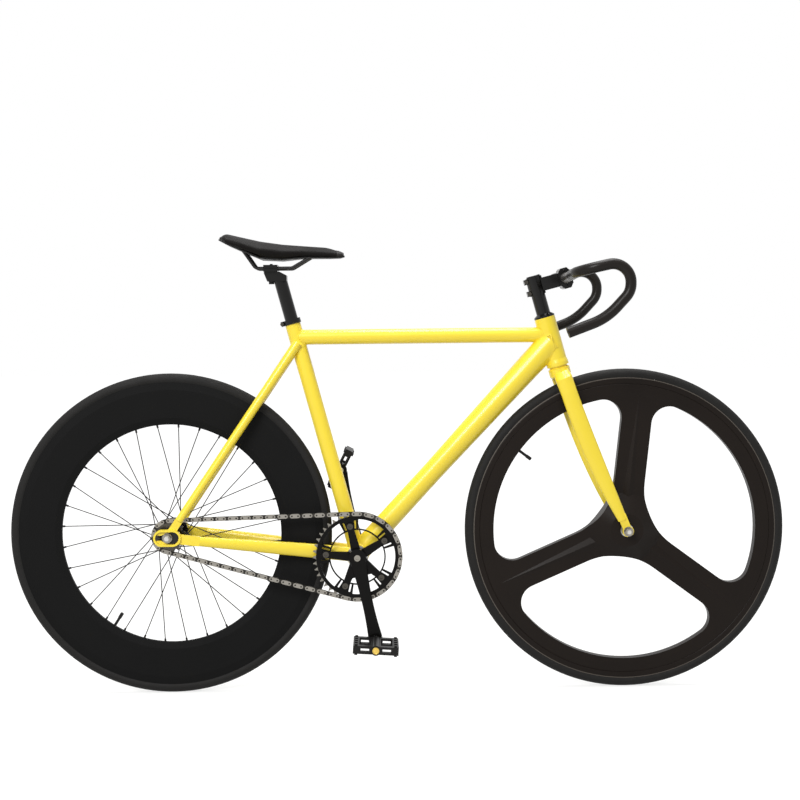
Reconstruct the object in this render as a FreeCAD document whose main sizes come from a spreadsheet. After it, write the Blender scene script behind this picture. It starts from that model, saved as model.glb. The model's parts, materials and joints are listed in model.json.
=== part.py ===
import FreeCAD, Part
import os
from math import asin, atan2, cos, degrees, pi, radians, sin, sqrt, tan

import Sketcher
from FreeCAD import Placement, Rotation, Vector

# Fixed gear track bicycle with a cast three-spoke front wheel and a deep rear rim.
# X points forward, Y to the rider's left and Z up. The origin is on the ground, midway
# between the two wheels. Lengths are millimetres and angles are degrees.
SIZES = {
    # Stance
    "wheel_gap": 277.0,
    "shell_clearance": 55.0,
    "crown_clearance": 28.0,
    "bottom_bracket_drop": 47.0,
    "seat_angle": 75.0,
    "head_angle": 74.6,
    "fork_rake": 41.0,
    # Clearances
    "running_fit": 0.05,
    "seat_gap": 0.05,
    "face_gap": 0.4,
    # Tyres and rims
    "tyre_outer_radius": 334.0,
    "tyre_width": 23.0,
    "tyre_wall": 2.2,
    "tyre_height": 18.0,
    "rim_width": 21.0,
    "rim_wall": 1.5,
    "rear_rim_depth": 88.0,
    "rear_rim_nose_width": 8.0,
    "rear_rim_nose_length": 14.0,
    "rear_rim_shoulder": 16.0,
    # Frame tubes
    "tube_wall": 1.2,
    "seat_tube_length": 505.0,
    "seat_tube_diameter": 32.0,
    "top_tube_diameter": 31.0,
    "top_tube_setdown": 36.0,
    "top_tube_head_setdown": 37.0,
    "down_tube_head_diameter": 54.0,
    "down_tube_mid_diameter": 43.0,
    "down_tube_shell_diameter": 44.0,
    "down_tube_joint": 52.0,
    "head_tube_length": 104.0,
    "head_tube_diameter": 43.0,
    "head_tube_foot_diameter": 46.0,
    "head_tube_foot_height": 14.0,
    "head_tube_bore": 35.0,
    "seat_stay_setdown": 48.0,
    "seat_stay_diameter": 20.0,
    "seat_stay_tip_diameter": 16.0,
    "seat_stay_cap": 4.0,
    "seat_stay_top_spread": 16.0,
    "chain_stay_height": 30.0,
    "chain_stay_width": 16.0,
    "chain_stay_tip_height": 20.0,
    "chain_stay_tip_width": 11.0,
    "chain_stay_root_spread": 22.0,
    # Bottom bracket
    "shell_width": 68.0,
    "shell_diameter": 46.0,
    "shell_bore": 34.0,
    "cup_flange_width": 3.0,
    "spindle_diameter": 17.0,
    "spindle_length": 112.0,
    "spindle_end_diameter": 15.0,
    "spindle_end_length": 18.0,
    # Dropouts and rear axle
    "rear_hub_spacing": 120.0,
    "dropout_thickness": 7.0,
    "dropout_hood_height": 5.0,
    "dropout_hood_wall": 4.0,
    "dropout_hood_length": 56.0,
    "dropout_hood_breadth": 34.0,
    "rear_axle_diameter": 10.0,
    "axle_slot_length": 34.0,
    "axle_slot_clearance": 0.6,
    "axle_stickout": 14.0,
    "axle_tip_length": 4.0,
    "axle_tip_step": 0.75,
    "axle_cone_diameter": 17.0,
    "axle_cone_length": 4.0,
    "axle_nut_across_flats": 15.0,
    "axle_nut_height": 8.0,
    "axle_washer_diameter": 20.0,
    "axle_washer_height": 2.0,
    # Drive
    "chain_pitch": 12.7,
    "chain_line": 42.0,
    "chain_inner_width": 3.4,
    "chain_plate": 1.1,
    "chain_plate_height": 8.4,
    "chain_roller_diameter": 7.7,
    "chain_pin_diameter": 3.6,
    "ring_teeth": 44,
    "cog_teeth": 16,
    "tooth_height": 3.2,
    "tooth_thickness": 2.9,
    "tooth_tip_width": 1.6,
    # Rear hub and spokes
    "hub_flange_radius": 29.0,
    "hub_flange_spacing": 66.0,
    "hub_flange_thickness": 3.0,
    "hub_body_radius": 16.0,
    "hub_thread_radius": 17.4,
    "hub_spoke_circle_radius": 25.0,
    "hub_bearing_radius": 13.0,
    "hub_bearing_width": 9.0,
    "lockring_radius": 20.0,
    "lockring_width": 5.0,
    "spoke_count": 32,
    "spoke_crossings": 3,
    "spoke_diameter": 2.0,
    "nipple_diameter": 4.2,
    "nipple_length": 12.0,
    "valve_diameter": 6.0,
    "valve_cap_diameter": 7.4,
    "valve_cap_length": 12.0,
    "valve_reach": 31.0,
    "valve_root": 4.0,
    "rear_valve_angle": 237.4,
    # Front wheel
    "front_rim_depth": 42.0,
    "front_spoke_width": 63.0,
    "front_spoke_angle": 83.5,
    "front_web_thickness": 20.0,
    "front_ridge_start": 62.0,
    "front_ridge_height": 5.0,
    "front_ridge_width": 30.0,
    "front_ridge_tip": 4.0,
    "rim_groove_inset": 13.0,
    "rim_groove_depth": 0.8,
    "casting_wall": 3.0,
    "front_hub_fillet": 140.0,
    "front_rim_fillet": 38.0,
    "front_hub_radius": 34.0,
    "front_hub_width": 78.0,
    "front_hub_foot_radius": 74.0,
    "front_hub_spacing": 100.0,
    "front_axle_diameter": 9.0,
    "front_valve_angle": 143.0,
    # Fork
    "steerer_diameter": 25.4,
    "steerer_bore": 21.4,
    "crown_radius": 22.5,
    "crown_height": 20.0,
    "crown_race_height": 3.0,
    "crown_race_radius": 19.0,
    "fork_tip_chord": 19.0,
    "fork_mid_chord": 34.0,
    "fork_crown_chord": 36.0,
    "fork_tip_thickness": 11.0,
    "fork_mid_thickness": 16.0,
    "fork_shoulder_spread": 36.0,
    "fork_wall": 2.5,
    "fork_bow": 6.5,
    "fork_tip_radius": 11.5,
    "fork_tip_plate": 6.0,
    "fork_tip_length": 26.0,
    # Headset, stem and bar
    "headset_bearing_height": 8.0,
    "headset_cover_height": 8.0,
    "spacer_diameter": 29.0,
    "spacer_height": 13.5,
    "spacer_count": 3,
    "stem_clamp_height": 38.0,
    "stem_clamp_diameter": 34.0,
    "stem_length": 61.5,
    "stem_pitch": 1.0,
    "stem_arm_width": 24.0,
    "stem_arm_height": 28.0,
    "bar_clamp_diameter": 22.2,
    "bar_clamp_width": 44.0,
    "bar_block_height": 43.0,
    "bar_block_depth": 13.0,
    "stem_lug_height": 11.0,
    "stem_lug_width": 18.0,
    "stem_bolt_diameter": 5.0,
    "stem_bolt_head_diameter": 8.5,
    "stem_bolt_head_height": 3.0,
    "top_cap_height": 3.0,
    "bar_diameter": 19.8,
    "bar_wall": 1.8,
    "bar_taper_end": 64.0,
    "bar_end_bore": 16.8,
    "bar_end_bore_depth": 25.0,
    "bar_width": 420.0,
    "bar_top_straight": 80.0,
    "bar_rise": 7.0,
    "bar_reach": 100.8,
    "bar_hook_top": 28.5,
    "bar_hook_bottom": 33.0,
    "bar_bend_reach": 54.0,
    "bar_bend_drop": 84.0,
    "bar_end_setback": 21.5,
    "bar_end_drop": 112.0,
    "bar_corner_radius": 45.0,
    "bar_front_radius": 35.0,
    "bar_hook_radius": 38.0,
    "bar_drop_radius": 125.0,
    "tape_thickness": 0.8,
    "tape_start": 110.0,
    # Cranks and pedals
    "crank_length": 172.5,
    "crank_angle": -77.9,
    "crank_boss_diameter": 36.0,
    "crank_boss_inner": 39.5,
    "crank_boss_width": 21.0,
    "crank_arm_width": 21.0,
    "crank_root_width": 33.0,
    "crank_arm_thickness": 13.0,
    "crank_root_offset": 52.5,
    "crank_eye_offset": 63.0,
    "crank_eye_diameter": 29.0,
    "ring_bolt_circle": 130.0,
    "ring_bolt_count": 5,
    "ring_bolt_angle": 30.8,
    "ring_bolt_diameter": 9.8,
    "ring_bolt_head_diameter": 12.5,
    "ring_bolt_head_height": 1.8,
    "ring_bolt_socket": 6.0,
    "ring_bolt_socket_depth": 3.0,
    "ring_band_inner_radius": 78.0,
    "ring_inner_radius": 55.5,
    "ring_inner_band": 3.0,
    "ring_tab_angle": 30.0,
    "ring_slot_angle": 9.5,
    "ring_slot_width": 3.4,
    "spider_thickness": 5.0,
    "spider_root_width": 20.0,
    "spider_tip_width": 13.0,
    "spider_web_radius": 50.0,
    "crank_bolt_diameter": 8.0,
    "crank_bolt_head_diameter": 13.0,
    "crank_bolt_head_height": 3.0,
    "crank_bolt_socket": 7.0,
    "crank_bolt_socket_depth": 2.0,
    "pedal_thread_diameter": 14.0,
    "pedal_collar_diameter": 18.0,
    "pedal_collar_length": 5.0,
    "pedal_axle_diameter": 10.0,
    "pedal_length": 91.0,
    "pedal_width": 88.0,
    "pedal_height": 16.0,
    "pedal_rail": 12.0,
    "pedal_slot_length": 17.0,
    "pedal_slot_height": 6.5,
    "pedal_barrel_diameter": 20.0,
    "pedal_stud_height": 3.0,
    "pedal_stud_width": 6.0,
    "pedal_stud_count": 5,
    "pedal_end_cap": 5.0,
    "right_pedal_tilt": -3.8,
    "left_pedal_tilt": 63.0,
    # Seat post, clamp and saddle
    "seat_post_diameter": 27.2,
    "seat_post_bore": 22.0,
    "seat_post_exposed": 92.0,
    "seat_post_inserted": 210.0,
    "seat_collar_diameter": 36.5,
    "seat_collar_height": 10.0,
    "seat_collar_lug": 6.0,
    "seat_collar_slot": 3.0,
    "seat_bolt_diameter": 4.0,
    "seat_bolt_head_diameter": 7.0,
    "seat_bolt_head_height": 3.5,
    "saddle_setback": 17.0,
    "saddle_rise": 18.5,
    "post_head_width": 34.0,
    "post_head_length": 48.0,
    "post_head_height": 20.0,
    "post_head_rear_slope": 8.0,
    "post_head_front_slope": 14.5,
    "post_head_front_drop": 7.6,
    "post_head_round": 2.0,
    "clamp_plate_length": 29.0,
    "clamp_plate_width": 56.0,
    "clamp_plate_thickness": 6.5,
    "clamp_split": 0.8,
    "clamp_bolt_diameter": 6.0,
    "clamp_bolt_head_diameter": 11.0,
    "clamp_bolt_head_height": 5.0,
    "rail_diameter": 7.0,
    "rail_spread": 22.0,
    "rail_bend_radius": 12.0,
    "saddle_shell_thickness": 3.0,
    "saddle_width": 144.0,
    "saddle_nose_width": 40.0,
    "saddle_tail": 104.0,
    "saddle_nose": 152.0,
}

doc = FreeCAD.newDocument("fixed_gear_bicycle")
sizes = doc.addObject("Spreadsheet::Sheet", "sizes")
for row, (alias, value) in enumerate(SIZES.items(), start=1):
    sizes.set(f"A{row}", alias.replace("_", " "))
    sizes.set(f"B{row}", str(value))
    sizes.setAlias(f"B{row}", alias)

# Sizes that follow from the wheels, so that the frame grows with them
FOLLOWING = {
    "wheelbase": "=2 * tyre_outer_radius + wheel_gap",
    "rim_edge_radius": "=tyre_outer_radius - tyre_height",
    "fork_length": "=tyre_outer_radius + crown_clearance",
    "chain_links": ("=2 * ceil((tyre_outer_radius + shell_clearance) / chain_pitch"
                    " + (ring_teeth + cog_teeth) / 4)"),
}
for row, (alias, formula) in enumerate(FOLLOWING.items(), start=1):
    sizes.set(f"F{row}", formula)
    sizes.setAlias(f"F{row}", alias)
doc.recompute()

UP = Vector(0, 0, 1)
ACROSS = Vector(0, 1, 0)
SIDES = {"right": -1, "left": 1}
nodes = []


# Drawing helpers
def add_node(sub_part):
    """Keep a finished sub-part under its label."""
    nodes.append(sub_part)
    return sub_part


def along(start, direction):
    """Placement that stands local Z along a direction at a start point."""
    return Placement(start, Rotation(UP, direction))


def across(centre, offset):
    """Placement of a turned piece on an axle, its local Z along Y from an offset."""
    return along(centre + ACROSS * offset, ACROSS)


def facing_out(centre, offset, side):
    """Placement on an axle at a side's offset, its local Z pointing away from the middle."""
    return along(centre + ACROSS * (side * offset), ACROSS * side)


def spot(angle, radius=1.0):
    """Point of the side view at an angle from forward, counted upwards."""
    return Vector(radius * cos(radians(angle)), 0, radius * sin(radians(angle)))


def pin(sketch, kind, line, expression):
    """Tie the start of a sketch line to a sheet expression, or to the axis where it is 0."""
    if expression == "0":
        axis = -2 if kind == "DistanceX" else -1
        sketch.addConstraint(Sketcher.Constraint("PointOnObject", line, 1, axis))
        return
    value = float(sketch.evalExpression(expression))
    index = sketch.addConstraint(Sketcher.Constraint(kind, -1, 1, line, 1, value))
    sketch.setExpression(f"Constraints[{index}]", expression)


def draw_loop(sketch, corners):
    """Closed outline whose corners are pairs of sheet expressions: radius and height."""
    first = sketch.GeometryCount
    points = [Vector(*(float(sketch.evalExpression(entry)) for entry in corner), 0) for corner in corners]
    count = len(corners)
    for index in range(count):
        sketch.addGeometry(Part.LineSegment(points[index], points[(index + 1) % count]))
    for index in range(count):
        following = first + (index + 1) % count
        sketch.addConstraint(Sketcher.Constraint("Coincident", first + index, 2, following, 1))
    for index, (radius, height) in enumerate(corners):
        pin(sketch, "DistanceX", first + index, radius)
        pin(sketch, "DistanceY", first + index, height)


def lathe(label, loops, place):
    """Body turned about its local Z from closed outlines of (radius, height) expressions."""
    body = doc.addObject("PartDesign::Body", label)
    sketch = body.newObject("Sketcher::SketchObject", label + "_section")
    plane = [feature for feature in body.Origin.OriginFeatures if feature.Role == "XZ_Plane"][0]
    sketch.AttachmentSupport = (plane, [""])
    sketch.MapMode = "FlatFace"
    for loop in loops:
        draw_loop(sketch, loop)
    turned = body.newObject("PartDesign::Revolution", label + "_turned")
    turned.Profile = sketch
    turned.ReferenceAxis = (sketch, ["V_Axis"])
    turned.Angle = 360.0
    body.Placement = place
    return body


def ring(label, inner, outer, height, place):
    """Plain turned ring or tube."""
    return lathe(label, [[(inner, "0"), (outer, "0"), (outer, height), (inner, height)]], place)


def cylinder(label, radius, height, place):
    solid = doc.addObject("Part::Cylinder", label)
    solid.setExpression("Radius", radius)
    solid.setExpression("Height", height)
    solid.Placement = place
    return solid


def box(label, length, width, height, place):
    """Block centred on its placement."""
    solid = doc.addObject("Part::Box", label)
    solid.setExpression("Length", length)
    solid.setExpression("Width", width)
    solid.setExpression("Height", height)
    middle = Vector(*(-float(sizes.evalExpression(entry)) / 2 for entry in (length, width, height)))
    solid.Placement = place.multiply(Placement(middle, Rotation()))
    return solid


def hexagon(label, across_flats, height, place):
    solid = doc.addObject("Part::Prism", label)
    solid.Polygon = 6
    solid.setExpression("Circumradius", f"{across_flats} / sqrt(3)")
    solid.setExpression("Height", height)
    solid.Placement = place
    return solid


def fuse(label, pieces):
    joined = doc.addObject("Part::MultiFuse", label)
    joined.Shapes = pieces
    return joined


def cut(label, base, tool):
    trimmed = doc.addObject("Part::Cut", label)
    trimmed.Base = base
    trimmed.Tool = tool
    return trimmed


def group(label, pieces):
    """Several separate solids under one name."""
    gathered = doc.addObject("Part::Compound", label)
    gathered.Links = pieces
    return gathered


def shaped(label, shape):
    feature = doc.addObject("Part::Feature", label)
    feature.Shape = shape
    return feature


def rounded_wire(points, radii, closed=False):
    """Straight runs joined by tangent arcs, one radius for each corner and 0 for a sharp one."""
    count = len(points)
    corners = list(range(count)) if closed else list(range(1, count - 1))
    turns = [] if closed else [(points[0], None, points[0])]
    for index, radius in zip(corners, radii):
        corner = points[index]
        back = (points[index - 1] - corner).normalize()
        ahead = (points[(index + 1) % count] - corner).normalize()
        if radius == 0:
            turns.append((corner, None, corner))
            continue
        half = back.getAngle(ahead) / 2
        reach = radius / tan(half)
        middle = corner + (back + ahead).normalize() * (radius / sin(half) - radius)
        turns.append((corner + back * reach, middle, corner + ahead * reach))
    if not closed:
        turns.append((points[-1], None, points[-1]))
    edges = []
    for index, (start, middle, end) in enumerate(turns):
        if middle is not None:
            edges.append(Part.Arc(start, middle, end).toShape())
        if index + 1 < len(turns) or closed:
            following = turns[(index + 1) % len(turns)][0]
            if end.distanceToPoint(following) > 1e-6:
                edges.append(Part.LineSegment(end, following).toShape())
    return Part.Wire(edges)


def pipe(path, radius):
    """Round bar along a path."""
    start = path.Edges[0]
    direction = start.tangentAt(start.FirstParameter)
    origin = start.valueAt(start.FirstParameter)
    section = Part.Wire(Part.makeCircle(radius, origin, direction))
    return path.makePipeShell([section], True, False)


def ellipse(centre, major, minor, half_major, half_minor):
    curve = Part.Ellipse(centre + major * half_major, centre + minor * half_minor, centre)
    return Part.Wire(curve.toShape())


def slab(wire, near, far):
    """Flat outline of the side view, extruded along Y between two offsets."""
    face = Part.Face(wire)
    face.translate(ACROSS * near)
    return face.extrude(ACROSS * (far - near))


def drum(centre, radius, near, far):
    """Round solid on an axle along Y between two offsets."""
    return Part.makeCylinder(radius, abs(far - near), centre + ACROSS * min(near, far), ACROSS)


def largest(shape):
    return max(shape.Solids, key=lambda solid: solid.Volume)


# Axes that place every piece
def chain_span():
    """Distance from crank to axle that the whole number of chain links pulls tight."""
    ring_radius = pitch_radius(sizes.ring_teeth)
    cog_radius = pitch_radius(sizes.cog_teeth)
    span = sizes.chain_pitch * sizes.chain_links / 3
    for _ in range(40):
        lean = asin((ring_radius - cog_radius) / span)
        wrapped = sizes.ring_teeth * (0.5 + lean / pi) + sizes.cog_teeth * (0.5 - lean / pi)
        run = (sizes.chain_links - wrapped) * sizes.chain_pitch / 2
        span = sqrt(run ** 2 + (ring_radius - cog_radius) ** 2)
    return span


def pitch_radius(teeth):
    return sizes.chain_pitch / (2 * sin(pi / teeth))


rear_centre = Vector(-sizes.wheelbase / 2, 0, sizes.tyre_outer_radius)
front_centre = Vector(sizes.wheelbase / 2, 0, sizes.tyre_outer_radius)
crank_span = chain_span()
crank_centre = rear_centre + Vector(
    sqrt(crank_span ** 2 - sizes.bottom_bracket_drop ** 2), 0, -sizes.bottom_bracket_drop)
seat_axis = spot(180 - sizes.seat_angle)
head_axis = spot(180 - sizes.head_angle)
head_foot = front_centre - spot(90 - sizes.head_angle, sizes.fork_rake)
seat_top = crank_centre + seat_axis * sizes.seat_tube_length
head_bottom_reach = sizes.fork_length + sizes.crown_race_height + sizes.face_gap
head_bottom = head_foot + head_axis * head_bottom_reach
head_top = head_bottom + head_axis * sizes.head_tube_length


def head_point(reach):
    """Point of the steering axis at a distance above the foot of the axle."""
    return head_foot + head_axis * reach


# Main frame tubes
seat_envelope = cylinder("seat_tube_envelope", "sizes.seat_tube_diameter / 2", "sizes.seat_tube_length",
                         along(crank_centre, seat_axis))
shell_envelope = cylinder("shell_envelope", "sizes.shell_diameter / 2", "sizes.shell_width",
                          across(crank_centre, -sizes.shell_width / 2))
head_envelope = cylinder("head_tube_envelope", "sizes.head_tube_foot_diameter / 2",
                         "sizes.head_tube_length", along(head_bottom, head_axis))

add_node(lathe("head_tube", [[
    ("sizes.head_tube_bore / 2", "0"),
    ("sizes.head_tube_foot_diameter / 2", "0"),
    ("sizes.head_tube_foot_diameter / 2", "sizes.head_tube_foot_height / 2"),
    ("sizes.head_tube_diameter / 2", "sizes.head_tube_foot_height"),
    ("sizes.head_tube_diameter / 2", "sizes.head_tube_length"),
    ("sizes.head_tube_bore / 2", "sizes.head_tube_length"),
]], along(head_bottom, head_axis)))

seat_tube_blank = ring("seat_tube_blank", "sizes.seat_post_diameter / 2 + sizes.running_fit",
                       "sizes.seat_tube_diameter / 2", "sizes.seat_tube_length",
                       along(crank_centre, seat_axis))
add_node(cut("seat_tube", seat_tube_blank, shell_envelope))

top_joint_seat = seat_top - seat_axis * sizes.top_tube_setdown
top_joint_head = head_top - head_axis * sizes.top_tube_head_setdown
top_tube_run = top_joint_head - top_joint_seat
sizes.set("D1", str(top_tube_run.Length))
sizes.setAlias("D1", "top_tube_run")
down_joint_head = head_bottom + head_axis * sizes.down_tube_joint
down_tube_run = down_joint_head - crank_centre
sizes.set("D2", str(down_tube_run.Length))
sizes.setAlias("D2", "down_tube_run")
doc.recompute()

head_tube_core = cylinder("head_tube_core", "sizes.head_tube_diameter / 2", "sizes.head_tube_length",
                          along(head_bottom, head_axis))
frame_ends = fuse("frame_ends", [head_tube_core, seat_envelope])
top_tube_blank = ring("top_tube_blank", "sizes.top_tube_diameter / 2 - sizes.tube_wall",
                      "sizes.top_tube_diameter / 2", "sizes.top_tube_run",
                      along(top_joint_seat, top_tube_run))
add_node(cut("top_tube", top_tube_blank, frame_ends))
top_envelope = cylinder("top_tube_envelope", "sizes.top_tube_diameter / 2", "sizes.top_tube_run",
                        along(top_joint_seat, top_tube_run))

down_tube_blank = lathe("down_tube_blank", [[
    ("sizes.down_tube_shell_diameter / 2 - sizes.tube_wall", "0"),
    ("sizes.down_tube_shell_diameter / 2", "0"),
    ("sizes.down_tube_mid_diameter / 2", "sizes.down_tube_run * 0.4"),
    ("sizes.down_tube_head_diameter / 2", "sizes.down_tube_run"),
    ("sizes.down_tube_head_diameter / 2 - sizes.tube_wall", "sizes.down_tube_run"),
    ("sizes.down_tube_mid_diameter / 2 - sizes.tube_wall", "sizes.down_tube_run * 0.4"),
]], along(crank_centre, down_tube_run))
down_tube_stages = [("down_tube_at_head", head_envelope), ("down_tube_at_shell", shell_envelope),
                    ("down_tube_at_seat", seat_envelope), ("down_tube", top_envelope)]
down_tube = down_tube_blank
for stage, envelope in down_tube_stages:
    down_tube = cut(stage, down_tube, envelope)
add_node(down_tube)

add_node(ring("bottom_bracket_shell", "sizes.shell_bore / 2", "sizes.shell_diameter / 2",
              "sizes.shell_width", across(crank_centre, -sizes.shell_width / 2)))

# Dropouts: track ends with a hood round the axle slot
dropout_inner = sizes.rear_hub_spacing / 2
dropout_outer = dropout_inner + sizes.dropout_thickness
hood_outer = dropout_outer + sizes.dropout_hood_height
dropout_middle = (dropout_inner + dropout_outer) / 2
stay_joint = seat_top - seat_axis * sizes.seat_stay_setdown
stay_line = (stay_joint - rear_centre).normalize()
chain_line_run = (crank_centre - rear_centre).normalize()
stay_tip_reach = sizes.dropout_hood_breadth + sizes.seat_stay_tip_diameter / 2
chain_tip_reach = sizes.dropout_hood_length + sizes.chain_stay_tip_height / 2


def stadium(centre, length, breadth):
    """Oval outline of the side view with its long way along X."""
    half = (length - breadth) / 2
    radius = breadth / 2
    corners = [Vector(-half - radius, 0, -radius), Vector(half + radius, 0, -radius),
               Vector(half + radius, 0, radius), Vector(-half - radius, 0, radius)]
    nearly_full = radius * 0.999
    return rounded_wire([centre + corner for corner in corners], [nearly_full] * 4, closed=True)


def dropout(side):
    """Plate with arms to both stays, an oval hood, and a slot open to the rear."""
    oval = stadium(rear_centre, sizes.dropout_hood_length, sizes.dropout_hood_breadth)
    recess = stadium(rear_centre, sizes.dropout_hood_length - 2 * sizes.dropout_hood_wall,
                     sizes.dropout_hood_breadth - 2 * sizes.dropout_hood_wall)
    plate = slab(oval, side * dropout_inner, side * hood_outer)
    plate = plate.cut(slab(recess, side * dropout_outer, side * (hood_outer + 1)))
    for line, reach, breadth in ((stay_line, stay_tip_reach, sizes.seat_stay_tip_diameter),
                                 (chain_line_run, chain_tip_reach, sizes.chain_stay_tip_height)):
        sideways = line.cross(ACROSS) * (breadth / 2)
        root = rear_centre + line * (sizes.dropout_hood_breadth / 2 - sizes.dropout_hood_wall)
        tip = rear_centre + line * reach
        corners = [root - sideways, tip - sideways, tip + sideways, root + sideways]
        arm = slab(rounded_wire(corners, [0] * 4, closed=True), side * dropout_inner, side * dropout_outer)
        plate = plate.fuse(arm.cut(slab(recess, side * dropout_outer, side * (hood_outer + 1))))
    slot_half = sizes.rear_axle_diameter / 2 + sizes.axle_slot_clearance / 2
    slot_front = rear_centre + Vector(slot_half, 0, 0)
    slot_rear = rear_centre - Vector(sizes.dropout_hood_length, 0, 0)
    rise = Vector(0, 0, slot_half)
    slot = slab(rounded_wire([slot_rear - rise, slot_front - rise, slot_front + rise, slot_rear + rise],
                             [0] * 4, closed=True), side * (dropout_inner - 1), side * (dropout_outer + 1))
    return plate.cut(slot).removeSplitter()


for name, side in SIDES.items():
    add_node(shaped("dropout_" + name, dropout(side)))


# Stays
def chain_stay(side, inset):
    """Lofted oval tube from the shell to the dropout arm, in by a wall where it is hollow."""
    start = sizes.shell_diameter / 4
    end = crank_span - chain_tip_reach
    waist = pitch_radius(sizes.ring_teeth) + sizes.tooth_height + 6
    stations = [
        (start, sizes.chain_stay_root_spread, sizes.chain_stay_height, sizes.chain_stay_width),
        (waist, sizes.chain_stay_root_spread + 6, sizes.chain_stay_height - 1, sizes.chain_stay_width),
        ((waist + end) / 2, (sizes.chain_stay_root_spread + 6 + dropout_middle) / 2,
         (sizes.chain_stay_height + sizes.chain_stay_tip_height) / 2, sizes.chain_stay_width),
        (end, dropout_middle, sizes.chain_stay_tip_height, sizes.chain_stay_tip_width),
    ]
    tall = chain_line_run.cross(ACROSS)
    sections = [ellipse(crank_centre - chain_line_run * reach + ACROSS * (side * spread), tall, ACROSS,
                        height / 2 - inset, width / 2 - inset)
                for reach, spread, height, width in stations]
    return Part.makeLoft(sections, True, False)


def seat_stay(side):
    """Tapered round tube, capped at the side of the seat tube, down to the dropout arm."""
    top = stay_joint + ACROSS * (side * sizes.seat_stay_top_spread)
    foot = rear_centre + stay_line * stay_tip_reach + ACROSS * (side * dropout_middle)
    run = foot - top
    wall = sizes.tube_wall
    outer = Part.makeCone(sizes.seat_stay_diameter / 2, sizes.seat_stay_tip_diameter / 2,
                          run.Length, top, run)
    cap = Vector(run).normalize() * sizes.seat_stay_cap
    inner = Part.makeCone(sizes.seat_stay_diameter / 2 - wall, sizes.seat_stay_tip_diameter / 2 - wall,
                          run.Length - sizes.seat_stay_cap, top + cap, run)
    return outer.cut(inner)


doc.recompute()
for name, side in SIDES.items():
    hollow = chain_stay(side, 0).cut(chain_stay(side, sizes.tube_wall))
    hollow = hollow.cut(shell_envelope.Shape).cut(seat_envelope.Shape)
    add_node(shaped("chain_stay_" + name, largest(hollow)))
for name, side in SIDES.items():
    mitred = seat_stay(side).cut(seat_envelope.Shape).cut(top_envelope.Shape)
    plate = slab(rounded_wire([rear_centre + spot(angle, 2 * stay_tip_reach) for angle in (0, 90, 180, 270)],
                              [0] * 4, closed=True), side * dropout_inner, side * dropout_outer)
    mitred = mitred.cut(plate.common(drum(rear_centre, stay_tip_reach, side * dropout_inner,
                                          side * dropout_outer)))
    add_node(shaped("seat_stay_" + name, largest(mitred)))

# Headset bearings in the two ends of the head tube
bearing_reach = {"lower": 0.0, "upper": sizes.head_tube_length - sizes.headset_bearing_height}
headset_rings = [
    ring(f"headset_bearing_{end}", "sizes.steerer_diameter / 2 + sizes.running_fit",
         "sizes.head_tube_bore / 2 - sizes.seat_gap", "sizes.headset_bearing_height",
         along(head_bottom + head_axis * reach, head_axis))
    for end, reach in bearing_reach.items()]
add_node(group("headset_bearings", headset_rings))

# Bottom bracket cartridge, a flanged cup from each side of the shell
cups = [
    lathe(f"bottom_bracket_cup_{name}", [[
        ("sizes.spindle_diameter / 2 + sizes.running_fit", "0"),
        ("sizes.shell_bore / 2 - sizes.seat_gap", "0"),
        ("sizes.shell_bore / 2 - sizes.seat_gap", "sizes.shell_width / 2 - sizes.seat_gap"),
        ("sizes.shell_diameter / 2 - 1", "sizes.shell_width / 2 - sizes.seat_gap"),
        ("sizes.shell_diameter / 2 - 1", "sizes.shell_width / 2 + sizes.cup_flange_width"),
        ("sizes.spindle_diameter / 2 + sizes.running_fit", "sizes.shell_width / 2 + sizes.cup_flange_width"),
    ]], facing_out(crank_centre, sizes.seat_gap, side))
    for name, side in SIDES.items()]
add_node(group("bottom_bracket_cartridge", cups))

# Seat clamp collar with split lugs behind, and its cross bolt
collar_foot = seat_top - seat_axis * (sizes.seat_collar_height * 0.75)
collar_frame = Placement(collar_foot + seat_axis * (sizes.seat_collar_height / 2),
                         Rotation(ACROSS, sizes.seat_angle - 90))
collar_ring = cylinder("seat_collar_ring", "sizes.seat_collar_diameter / 2", "sizes.seat_collar_height",
                       along(collar_foot, seat_axis))
lug_middle = sizes.seat_collar_diameter / 2 + sizes.seat_collar_lug / 2
lug_centre = Placement(Vector(-(lug_middle - 4), 0, 0), Rotation())
collar_lugs = box("seat_collar_lugs", "sizes.seat_collar_lug + 6", "sizes.seat_collar_slot + 12",
                  "sizes.seat_collar_height", collar_frame.multiply(lug_centre))
collar_blank = fuse("seat_collar_blank", [collar_ring, collar_lugs])
collar_bore = cylinder("seat_collar_bore", "sizes.seat_tube_diameter / 2 + sizes.seat_gap",
                       "sizes.seat_collar_height * 0.75 + sizes.seat_gap", along(collar_foot, seat_axis))
collar_lip = cylinder("seat_collar_lip", "sizes.seat_post_diameter / 2 + sizes.running_fit",
                      "sizes.seat_collar_height", along(collar_foot, seat_axis))
slot_middle = Placement(Vector(-sizes.seat_collar_diameter / 2, 0, 0), Rotation())
collar_slot = box("seat_collar_gap", "sizes.seat_collar_diameter", "sizes.seat_collar_slot",
                  "sizes.seat_collar_height + 1", collar_frame.multiply(slot_middle))
seat_bolt_spot = collar_frame.multVec(Vector(-lug_middle, 0, 0))
seat_bolt_half = (sizes.seat_collar_slot + 12) / 2
seat_bolt_bore = cylinder("seat_bolt_bore", "sizes.seat_bolt_diameter / 2 + sizes.seat_gap",
                          "sizes.seat_collar_slot + 20", across(seat_bolt_spot, -seat_bolt_half - 4))
collar_tools = fuse("seat_collar_tools", [collar_bore, collar_lip, collar_slot, seat_bolt_bore])
add_node(cut("seat_clamp", collar_blank, collar_tools))
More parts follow.
